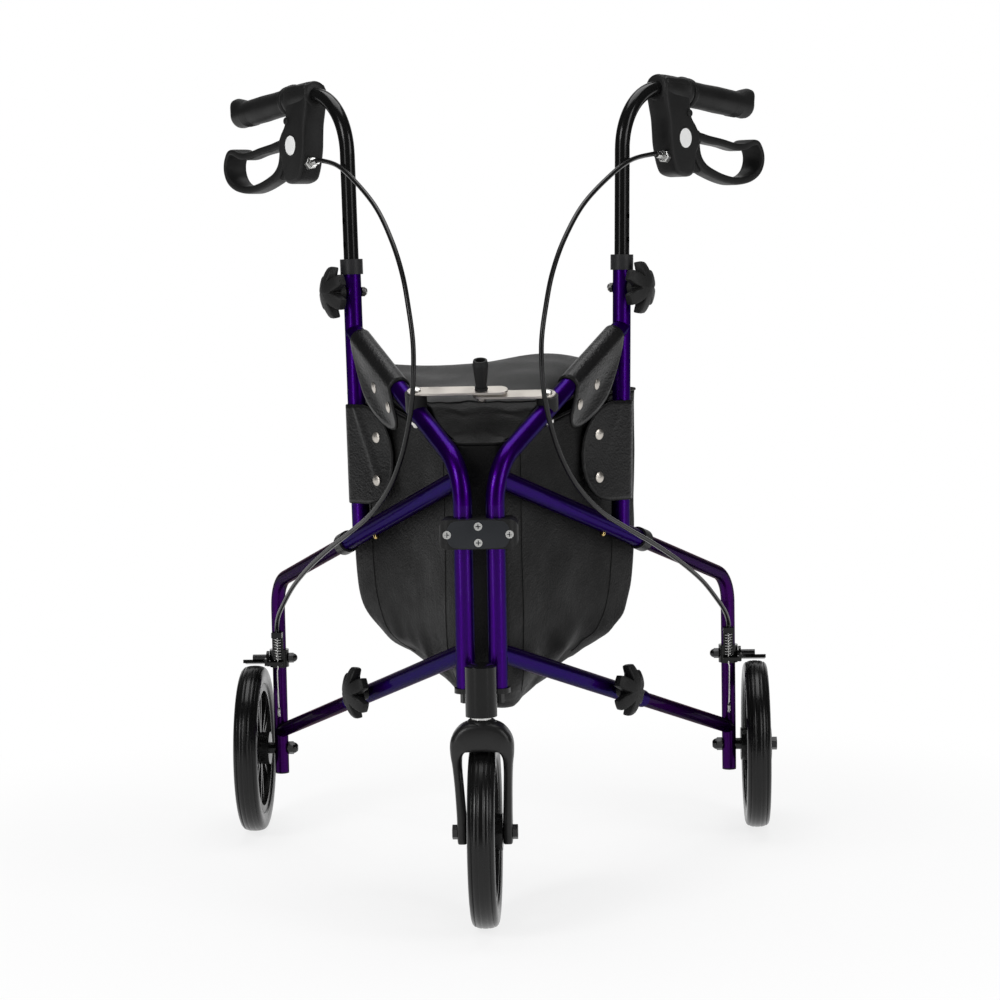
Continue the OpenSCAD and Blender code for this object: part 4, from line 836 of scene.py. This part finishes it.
ring_c, ring_s = squared(circle(32), *FORK_POWERS)
off_t, off_d = u_thick * ring_c, u_deep * ring_s
crown_rise = CROWN_RISE * off_d * (1 - ring_c) / 2 * smooth_step(u_z, *CROWN_FROM)
fork_y = CASTER_Y + (HEAD_Y - CASTER_Y) * u_shift + off_d - MIDDLE_Y
blades = barrel(pts(u_x - u_dir[:, 1:2] * off_t, fork_y, u_z + u_dir[:, 0:1] * off_t + crown_rise))
neck = barrel(turned(NECK)[..., [1, 2, 0]] + np.array([0, HEAD_Y - MIDDLE_Y, 0]))
new_piece("fork_casting", [blades, neck], fork_plastic, "fork", sharp=60, body="caster", node="fork")
print("fork rows", len(u_line))

# %% Clamp plate
PLATE_HALF = [[31, 0], [30, 6.5], [25.5, 12.2], [16, 13.6], [0, 13.7], [-16, 13.6], [-25.5, 12.2], [-30, 6.5]]
PLATE_PROUD, PLATE_SUNK, PLATE_EDGE = 0.75, 1.0, 0.5
clamp_low, clamp_high = (np.asarray(corner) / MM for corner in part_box("post_clamp"))
half_plate = np.asarray(PLATE_HALF, float)
plate_line = closed_spline(np.vstack([half_plate, -half_plate]), 4)
plate_flat, plate_level = slab(plate_line, clamp_low[1] - PLATE_PROUD, clamp_low[1] + PLATE_SUNK, PLATE_EDGE)
clamp_mid = (clamp_low[2] + clamp_high[2]) / 2
plate_grid = barrel(pts(plate_flat[..., 0], plate_level, clamp_mid + plate_flat[..., 1]))
new_piece("clamp_plate", [plate_grid], plate_grey, "grey_plastic", sharp=40, body="front_hinge")
print("clamp plate over", np.round(clamp_low, 1).tolist())

# %% [markdown]
# ## Tyres
# The tyres are solid rubber with a crowned tread, round shoulders, a shallow groove near each shoulder and a bead
# against the rim. The section is a closed line, and it is turned about the axle.

# %% Tyres
SECTION = [[0, 74.05], [8, 74.05], [10.8, 74.3], [12, 75.4], [12.7, 77.2], [12.3, 78.2], [12.9, 79.6], [13.35, 83],
           [13.5, 86.5], [13.2, 89], [12.4, 91.1], [11, 92.7], [9.6, 93.5], [9.25, 93.0], [8.55, 93.1], [8.2, 93.95],
           [5, 94.7], [3.9, 94.82], [3.5, 94.4], [3.0, 94.4], [2.6, 94.9], [1.2, 94.98]]
WHEEL_OUT, TYRE_COLUMNS = 30.7, 144
half_section = np.asarray(SECTION, float)
section = np.vstack([half_section, half_section[:0:-1] * np.array([-1.0, 1])])


def tyre_at(x, y):
    """The section turned about an axle along x at the height of the wheel's radius."""
    return [grid(turned(section, TYRE_COLUMNS) + np.array([x, y, WHEEL_R]), wrap_i=True, wrap_j=True)]


rear_tyre = tyre_at(LEG_X + WHEEL_OUT, LEG_Y - MIDDLE_Y)
tyres = {"right": rear_tyre, "left": mirrored(rear_tyre), "front": tyre_at(0.0, CASTER_Y - MIDDLE_Y)}
for label, tyre in tyres.items():
    new_piece(label + "_tread", tyre, tyre_rubber, "tyre", sharp=60, body=label + "_wheel", node=label + "_tyre")
print("tyre section points", len(section))

# %% [markdown]
# ## Soft finishes
# The bag is leatherette: a black skin with raised cells less than a millimetre across, duller where it is creased. Its
# lid is a thin nylon cloth with a plain weave. Both keep their pattern at its real size, because it is laid out in
# metres: by the place in the object for leatherette, and by the cloth's own UV map for the weave.

# %% Leatherette, nylon and binding tape
def leatherette(name, low, high, rough, scale, depth, gloss=0.22):
    """Raised cells as height, with broad clouds in colour and roughness."""
    material, tree, shader, at = finish_base(name, high, specular=gloss)
    skin(tree, shader, pebble, at, scale, low, high, depth, 0.0006)
    dulled(tree, shader, at, 12.0, rough - 0.08, rough + 0.1)
    return material


def nylon(name, low, high, rough, scale, depth):
    """Crossed threads as height, with slubs in colour. The shader's sheen gives the pale bloom of a thin cloth."""
    material, tree, shader, at = finish_base(name, high, specular=0.25)
    shader.inputs["Sheen Weight"].default_value = 0.1
    shader.inputs["Sheen Roughness"].default_value = 0.4
    cloth_uv = add(tree, "ShaderNodeTexCoord").outputs["UV"]
    skin(tree, shader, weave, cloth_uv, scale, low, high, depth, 0.0003)
    dulled(tree, shader, at, 16.0, rough - 0.06, rough + 0.1)
    return material


bag_leather = leatherette("bag_leatherette", (0.0035, 0.0035, 0.0034), (0.0068, 0.0068, 0.0066), 0.5, 560.0, 0.9,
                          gloss=0.13)
flap_leather = leatherette("flap_leatherette", grey(0.004), (0.009, 0.009, 0.0093), 0.36, 520.0, 0.8, gloss=0.3)
binding_tape = leatherette("binding_tape", grey(0.003), grey(0.006), 0.6, 1500.0, 0.3)
lid_nylon = nylon("lid_nylon", (0.009, 0.009, 0.0086), (0.017, 0.017, 0.0166), 0.55, 349.0, 0.35)
print("soft finishes up to", lid_nylon.name)

# %% [markdown]
# ## The bag
# The bag hangs between the two frames. Seen from above it is a kite with round corners, narrow in front and wide
# behind, and it ends below in a slack pouch. One ring of points is worked out for every height, and the rings are
# lofted from the rim down to a point under the pouch. Soft ripples are added as a sum of a few waves, weak where a
# panel is tight and stronger in the pouch.

# %% Rings of the bag
BAG_ROWS = [[13.9, 52, 140, 290, 14, 478, 514], [13.9, 52, 140, 291, 14, 420, 458],
            [13.9, 52, 139, 293, 14, 360, 400], [13.9, 53, 137, 292, 15, 300, 340], [13, 58, 131, 288, 16, 262, 296],
            [12, 72, 118, 282, 18, 240, 262], [10, 96, 88, 266, 20, 222, 238], [6, 125, 40, 236, 22, 209, 219],
            [0.2, 168, 0.6, 172, 0.6, 206, 206]]
FRONT_STEPS, CORNER_STEPS, PANEL_STEPS, REAR_CORNER_STEPS, REAR_STEPS = 5, 6, 30, 10, 16
CLIMB_SHARE = 0.82


def steps(n):
    """n even steps from 0 to just below 1, as one row."""
    return (np.arange(n) / n)[None, :]


def bag_ring(fx, fy, rx, ry, r):
    """Half of a kite with round corners: front edge, arc, slanted side, arc, rear edge, as one row each."""
    slant = np.arctan2(rx - fx, ry - fy)
    front = pts(fx * steps(FRONT_STEPS), fy - r)
    turn_a = -np.pi / 2 + (np.pi / 2 - slant) * steps(CORNER_STEPS)
    arc_a = pts(fx + r * np.cos(turn_a), fy + r * np.sin(turn_a))
    run = steps(PANEL_STEPS)
    side = pts(fx + (rx - fx) * run + r * np.cos(slant), fy + (ry - fy) * run - r * np.sin(slant))
    turn_b = -slant + (np.pi / 2 + slant) * steps(REAR_CORNER_STEPS)
    arc_b = pts(rx + r * np.cos(turn_b), ry + r * np.sin(turn_b))
    rear = pts(rx * (1 - np.linspace(0, 1, REAR_STEPS)[None, :]), ry + r)
    return np.concatenate([front, arc_a, side, arc_b, rear], axis=1)


row = spline(BAG_ROWS, 7)
front_y, rear_y, corner_r, front_z, rear_z = (row[:, k:k + 1] for k in (1, 3, 4, 5, 6))
half_ring = bag_ring(*[row[:, k:k + 1] for k in range(5)])
ring_xy = np.concatenate([half_ring, half_ring[:, -2:0:-1] * np.array([-1.0, 1])], axis=1)
climb = np.clip((ring_xy[..., 1] - front_y + corner_r) / (CLIMB_SHARE * (rear_y - front_y) + 1), 0, 1)
ring_z = front_z + (rear_z - front_z) * climb
bag_points = pts(ring_xy[..., 0], ring_xy[..., 1] - MIDDLE_Y, ring_z)
print("bag rings", bag_points.shape[:2])


# %% Slack in the bag
def ripples(p, seed, longest, shortest, count):
    """A sum of sine waves in seeded directions: each wave's height falls with its length."""
    draw = np.random.default_rng(seed)
    length = np.geomspace(longest, shortest, count)
    aim = unit(draw.normal(size=(count, 3)))
    phase = draw.uniform(0, 2 * np.pi, count)
    waves = np.sin(p @ (aim * (2 * np.pi / length)[:, None]).T + phase) * (length / longest)
    return waves.sum(-1) / np.sqrt((length / longest) ** 2).sum()


BAG_MIDDLE, BAG_WAVES, BAG_WALL = np.array([0, 20.0, 330]), (5, 90, 26, 7), 0.0016
LEAST_SLACK, POUCH_SLACK, POUCH_FROM = 1.2, 5.5, (-300, -235)
SAG, SAG_FROM, SAG_LONG = 3.5, 60, 220
POUCH_X, POUCH_HALF, POUCH_OUT, POUCH_DOWN = 34, 44, 16, 9
slack = LEAST_SLACK + POUCH_SLACK * smooth_step(-ring_z, *POUCH_FROM)
inward = unit(BAG_MIDDLE - bag_points)
sink = slack * (0.8 + ripples(bag_points, *BAG_WAVES) * 1.1)
tight = smooth_step(front_z, 205, 214) * smooth_step(-front_z, -478.5, -462)
sag_run = np.clip((ring_xy[..., 1] - SAG_FROM) / SAG_LONG, 0, 1)
sag = SAG * np.sin(np.pi * sag_run) * smooth_step(-ring_z, -520, -360)
bag_points = bag_points + inward * ((np.clip(sink, 0, None) + sag) * tight)[..., None]
pouch = np.exp(-((bag_points[..., 0] - POUCH_X) / POUCH_HALF) ** 2) * smooth_step(-bag_points[..., 2], -262, -212)
bag_points = bag_points - pts(0, POUCH_OUT * pouch, POUCH_DOWN * pouch)
bag_body = new_piece("bag_body", [grid(bag_points, wrap_j=True)], bag_leather, "bag", node="bag")
cloth_wall(bag_body, BAG_WALL)
print("lowest point of the bag", round(float(bag_points[..., 2].min()), 1))

# %% Piping on the seams of the bag
LEVEL_REF, UPRIGHT_REF = (0.31, 0.17, 0.93), (0.4, 0.9, 0.1)
SEAM_AFTER, SEAM_REAR, SEAM_R, RIM_R = 3, 25, 0.65, 1.6


def cord_ref(path):
    """The reference direction for a cord: one for level runs, and one for upright ones."""
    return LEVEL_REF if abs(np.ptp(path[:, 2])) < 90 else UPRIGHT_REF


def piped(path, radius=1.5):
    """A round cord of cloth along a row of surface points."""
    return rod(path, radius, 8, cord_ref(path))


columns = bag_points.shape[1]
corner = FRONT_STEPS + CORNER_STEPS
seam_columns = (corner + SEAM_AFTER, columns - corner - SEAM_AFTER, corner + SEAM_REAR, columns - corner - SEAM_REAR)
rim = np.vstack([bag_points[0], bag_points[0, :1]])
piping = [piped(bag_points[2:44, j], SEAM_R) for j in seam_columns]
piping.append(grid(sweep(rim, RIM_R, 8, cord_ref(rim)), wrap_j=True))
bag_piping = new_piece("bag_piping", piping, bag_leather, "bag")
print("piping runs:", len(piping))

# %% [markdown]
# ## The lid
# The lid is one cut of thin nylon that lies over the mouth of the bag and hangs down a little behind it. In front of
# the lock bar a nose goes on in the same curve, crumples and closes the mouth. The nose takes the bag's darker
# leatherette as painted shade. Both are one strip whose width follows its length, with long waves along its top and
# short ones at the nose, cut in two where the lid ends.

# %% Lid cloth
LID_ROWS = [[80, 478, 150], [79, 524, 150], [75, 541, 148], [60, 547, 144], [0, 541, 116], [-60, 531, 88],
            [-110, 519, 65], [-131, 511, 54], [-142, 501, 47], [-159, 491, 37.5], [-177, 483, 28], [-191, 477, 19]]
TUCK_Y = -121.0
LID_WALL, HEM_R = 0.0009, 1.2
WAVE_HIGH, WAVE_SHIFT, WAVE_HALF = 6.8, 5, 109.0
LONG_HIGH, LONG_WAVES, SHORT_HIGH, SHORT_WAVES = 3.4, (21, 150, 50, 6), 1.5, (8, 42, 13, 7)
EDGE_DROP, EDGE_POWER = 22.0, 7
lid_row = spline(LID_ROWS, 9)
lid_y, lid_z, lid_half = (lid_row[:, k:k + 1] for k in range(3))
across_lid = np.linspace(-1, 1, 61)[None, :]
lid_x = lid_half * across_lid
lid_flat = pts(lid_x, lid_y, lid_z)
top_part = smooth_step(lid_z, 500, 535) * smooth_step(lid_y, -120, -40)
tuck = smooth_step(-lid_y, 104, 136)
wave = WAVE_HIGH * np.sin(np.pi * (lid_x - WAVE_SHIFT) / WAVE_HALF) * top_part
long_waves = LONG_HIGH * ripples(lid_flat, *LONG_WAVES) * (0.35 + top_part)
short_waves = SHORT_HIGH * ripples(lid_flat, *SHORT_WAVES) * tuck * smooth_step(lid_y, -192, -174)
side_drop = smooth_step(lid_y, -125, -75) * smooth_step(lid_z, 480, 530)
crown = -EDGE_DROP * np.abs(across_lid) ** EDGE_POWER * side_drop
lid_points = lid_flat + pts(0, 3.0 * short_waves, wave + long_waves + crown + 2.5 * short_waves)
along = np.concatenate([[0], np.cumsum(np.linalg.norm(np.diff(lid_row[:, :2], axis=0), axis=1))])
lid_uv = pts(lid_x * MM, along[:, None] * MM)
tucked = int(np.argmin(np.abs(lid_row[:, 0] - TUCK_Y)))
nose_points, lid_points = lid_points[tucked:], lid_points[:tucked + 1]
lid = new_piece("bag_lid", [grid(lid_points, uv=lid_uv[:tucked + 1])], lid_nylon, "bag", face=(0, 0.2, 1))
# The nose takes the bag's darker leatherette instead of the lid's nylon: painted shade on the nose of the lid.
nose = new_piece("bag_nose_painted_shade", [grid(nose_points)], bag_leather, "bag", face=(0, -0.4, 1))
for cloth in (nose, lid):
    cloth_wall(cloth, LID_WALL)
edge_run = np.vstack([lid_points[0], lid_points[1:, -1], lid_points[-1, -2::-1], lid_points[-2::-1, 0]])
lid_hem = new_piece("bag_lid_hem", [piped(edge_run, HEM_R)], binding_tape, "bag")
print("lid rows", len(lid_points), "nose rows", len(nose_points))

# %% The bag and its lid ride on the front hinge
for soft_piece in (bag_body, bag_piping, lid, lid_hem, nose):
    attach(soft_piece, "front_hinge")
    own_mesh(soft_piece)

# %% [markdown]
# ## The flaps that hold the bag
# Two leatherette flaps on each side carry the bag: one lies over the slanted tube and hangs down outside it, the other
# goes round the handle post and comes forward to the side panel. Each is a strip wrapped on a circle with a straight
# tail whose length follows a rounded outline. Tape binds its edge, and two domed snaps close it.

# %% Wrapped strips
FLAP_R = 10.3
DIAG_S, DIAG_Z = 32.64, 472.53
DIAG_FROM, DIAG_LONG, POST_LOW, POST_HIGH, TAIL_SLOPE = 130, 110, 35, 137, 0.32
CREASE_HIGH, CREASE_AT, CREASE_LEAN, CREASE_HALF = 1.8, 12, 0.4, 3.5
DIAG_OUTLINE = [[0, 24], [0.03, 32], [0.07, 38], [0.12, 42.5], [0.2, 46.5], [0.31, 49], [0.5, 50], [0.65, 48],
                [0.74, 43], [0.82, 36], [0.9, 27], [0.96, 19], [1, 11]]
POST_OUTLINE = [[35, 28], [37, 38], [41, 47], [48, 55], [58, 61], [70, 64], [86, 65], [100, 63.5], [112, 59],
                [121, 52], [128, 44], [133, 35], [136, 27], [137, 22]]


def diag_point(w, o, up):
    """A point along the slanted tube (w), outwards (o) and square to it in the frame's plane (up), to x, y, z."""
    c, n = math.cos(DIAG_SLOPE), math.sin(DIAG_SLOPE)
    return from_frame(pts(DIAG_S + w * c - up * n, o, DIAG_Z + w * n + up * c))


def diag_flap():
    """Inner tail, half circle over the tube, then an outer tail that hangs straight down to its rounded outline."""
    f = np.linspace(0, 1, 31)[:, None]
    w = DIAG_FROM + DIAG_LONG * f
    inner = diag_point(w, -FLAP_R, np.linspace(-14, 0, 5)[None, :-1])
    turn = np.linspace(np.pi, 0, 17)[None, :-1]
    over = diag_point(w, FLAP_R * np.cos(turn), FLAP_R * np.sin(turn))
    drop = np.linspace(0, 1, 15)[None, :] * np.interp(f, *np.transpose(DIAG_OUTLINE))
    shift = -13 * (1 - f) ** 2 * np.clip(drop / 25, 0, 1)
    start = diag_point(w + shift, FLAP_R - 0.09 * drop + 0.035 * drop * np.sin(drop / 9 + 4 * f), 0.0)
    return np.concatenate([inner, over, start - pts(0, 0, drop)], axis=1)


def post_flap(crease):
    """Inner tail, an arc round the rear of the post, then a tail forward to its rounded outline on the side panel."""
    u = np.linspace(POST_LOW, POST_HIGH, 35)[:, None]
    past = np.pi / 2 + math.atan(TAIL_SLOPE)
    inner = pts(np.linspace(-12, 0, 4)[None, :-1], -FLAP_R, u)
    turn = np.linspace(-np.pi / 2, past, 19)[None, :-1]
    wrap = pts(FLAP_R * np.cos(turn), FLAP_R * np.sin(turn), u)
    d = np.linspace(0, 1, 21)[None, :] * np.interp(u, *np.transpose(POST_OUTLINE))
    off_crease = (d - CREASE_AT - CREASE_LEAN * (POST_HIGH - u)) / CREASE_HALF
    fold = crease * CREASE_HIGH * np.exp(-off_crease ** 2) * smooth_step(u, 45, 70)
    a = FLAP_R * math.cos(past) - d * math.sin(past)
    o = FLAP_R * math.sin(past) + d * math.cos(past) + 1.4 * np.sin(u / 17) * d / 57 + fold
    return from_frame(from_post(np.concatenate([inner, wrap, pts(a, o, u)], axis=1)))


def flap_edge(p):
    """The outline of a flap's grid, from the inner tail round the outer one."""
    return np.vstack([p[0], p[1:-1, -1], p[-1, ::-1]])


print("slanted flap grid", diag_flap().shape[:2])

# %% Flaps, tape and snaps
OUT = np.array([math.cos(HALF_OPEN), -math.sin(HALF_OPEN), 0])
LEFT_CREASE, RIGHT_CREASE = 1.0, 0.25
FLAP_WALL, SNAP_R, SNAP_FOOT = 0.0016, 5.8, 1.5
OVER_SNAPS, POST_SNAPS = ((4, 27), (14, 26)), ((8, 35), (23, 35))
SNAP = [[0, 0.001], [0, 1.0], [0.5, 1.0], [0.9, 0.96], [0.95, 0.86], [1.25, 0.8], [1.6, 0.6], [1.85, 0.34],
        [2.2, 0.001]]


def snap(p, i, j):
    """A domed disc on a grid point: rows of (rise, share of the radius) turned about the surface's normal."""
    n = unit(np.cross(np.gradient(p, axis=0), np.gradient(p, axis=1)) + 1e-12)[i, j]
    n = n if n @ (p[i, j] - np.array([0, 150.0, p[i, j, 2]])) > 0 else -n
    u = unit(np.cross(n, (0.1, 0.2, 0.97)))
    w = np.cross(n, u)
    rise, r = (column[:, None, None] for column in np.transpose(SNAP))
    ring = np.cos(circle(20))[None, :, None] * u + np.sin(circle(20))[None, :, None] * w
    return grid(p[i, j] + n * (rise + SNAP_FOOT) + SNAP_R * r * ring, wrap_j=True)


for side, place, sign in SIDES:
    over, round_post = diag_flap(), post_flap(LEFT_CREASE if sign < 0 else RIGHT_CREASE)
    away = tuple(OUT * np.array([sign, 1, 1]))
    body = side + "_frame"
    strips = [grid(over), grid(round_post)]
    flaps = new_piece(side + "_flaps", place(strips), flap_leather, "bag", face=away, body=body,
                      node=side + "_bag_flaps")
    cloth_wall(flaps, FLAP_WALL, 1.0)
    binding = [piped(flap_edge(over)), piped(flap_edge(round_post))]
    new_piece(side + "_flap_tape", place(binding), binding_tape, "bag", body=body)
    domes = [snap(over, *at) for at in OVER_SNAPS] + [snap(round_post, *at) for at in POST_SNAPS]
    new_piece(side + "_flap_snaps", place(domes), nickel, "nickel", body=body)
print("flap grids", over.shape[:2], round_post.shape[:2])

# %% [markdown]
# ## Floor and light
# The photograph has a plain white ground and soft light from all sides, with a key from the upper left. Five area
# lamps give the light: key, fill and top, and two upright strips for the long highlights on the tubes. The floor goes
# over to plain white away from the wheels. The world is white to the camera and a dim grey as light. Glossy rays see
# it dark except behind the walker, so that black paint stays black.

# %% Floor
FLOOR_HALF, FLOOR_BACK = 7, 2
floor_rows = np.linspace(-FLOOR_HALF, FLOOR_HALF, 15)
floor_x, floor_y = np.meshgrid(floor_rows, floor_rows + FLOOR_BACK, indexing="ij")
floor_grid = grid(pts(floor_x, floor_y, 0))
floor_mesh = bpy.data.meshes.new("studio_floor")
floor_mesh.from_pydata(floor_grid["points"].reshape(-1, 3).tolist(), [], grid_faces(floor_grid, 0))
floor = bpy.data.objects.new("studio_floor", floor_mesh)
bpy.context.scene.collection.objects.link(floor)
floor_paint, tree, shader, at = finish_base("floor_paint", grey(0.9), specular=0.0)
shader.inputs["Roughness"].default_value = 0.9
away = add(tree, "ShaderNodeVectorMath", operation="LENGTH")
far = add(tree, RANGE, {"From Min": 0.42, "From Max": 0.95, "To Min": 0.8}, interpolation_type="SMOOTHSTEP")
ray = add(tree, "ShaderNodeLightPath")
seen = add(tree, MATH, operation="ADD")
white = add(tree, MATH, operation="MULTIPLY")
glow = add(tree, "ShaderNodeEmission")
mix = add(tree, "ShaderNodeMixShader")
tree.links.new(at, away.inputs[0])
link(tree, (away, "Value", far, "Value"), (ray, "Is Camera Ray", seen, 0), (ray, "Is Glossy Ray", seen, 1),
     (seen, 0, white, 0), (far, "Result", white, 1), (white, 0, mix, "Fac"), (shader, 0, mix, 1), (glow, 0, mix, 2),
     (mix, 0, tree.nodes["Material Output"], "Surface"))
floor_mesh.materials.append(floor_paint)
print("floor", floor_rows.size, "rows")

# %% Lamps
LAMPS = (
    ("key", (-1.8, -2.2, 2.3), (0, 0, 0.45), (1.0, 1.0), 32.0),
    ("fill", (2.4, -1.4, 1.8), (0, 0, 0.45), (0.7, 1.6), 19.0),
    ("left_strip", (-1.35, -1.75, 0.8), (0, 0, 0.8), (0.5, 1.5), 9.0),
    ("right_strip", (1.55, -1.45, 0.8), (0, 0, 0.8), (0.4, 1.5), 6.5),
    ("top", (0.0, 0.6, 3.0), (0, 0, 0.4), (2.0, 2.0), 40.0),
)
for name, place, target, size, power in LAMPS:
    light = bpy.data.lights.new(name, "AREA")
    light.shape = "RECTANGLE"
    light.size, light.size_y = size
    light.energy = power
    stand = bpy.data.objects.new(name, light)
    bpy.context.scene.collection.objects.link(stand)
    back = unit(np.asarray(place, float) - np.asarray(target, float))
    right = unit(np.cross((0, 0, 1), back))
    facing = Matrix(np.column_stack([right, np.cross(back, right), back]).tolist()).to_4x4()
    stand.matrix_world = Matrix.Translation(place) @ facing

# %% World
world = bpy.data.worlds.new("studio")
bpy.context.scene.world = world
world.use_nodes = True
sky = world.node_tree
ray = add(sky, "ShaderNodeLightPath")
heading = add(sky, "ShaderNodeTexCoord")
split = add(sky, "ShaderNodeSeparateXYZ")
behind = add(sky, RANGE, {"From Min": 0.74, "From Max": 0.98}, interpolation_type="SMOOTHSTEP")
studio = mixer(sky, {MIX_A: (*grey(0.05), 1.0), MIX_B: (*grey(0.95), 1.0)})
around = mixer(sky, {MIX_A: (0.3, 0.3, 0.305, 1.0)})
tone = mixer(sky, {MIX_B: (*grey(1.0), 1.0)})
link(sky, (heading, "Generated", split, 0), (split, "Y", behind, "Value"), (behind, "Result", studio, MIX_FAC),
     (ray, "Is Glossy Ray", around, MIX_FAC), (studio, MIX_RESULT, around, MIX_B),
     (ray, "Is Camera Ray", tone, MIX_FAC), (around, MIX_RESULT, tone, MIX_A),
     (tone, MIX_RESULT, sky.nodes["Background"], "Color"))
bpy.context.scene.view_settings.view_transform = "Standard"
print("world:", world.name)
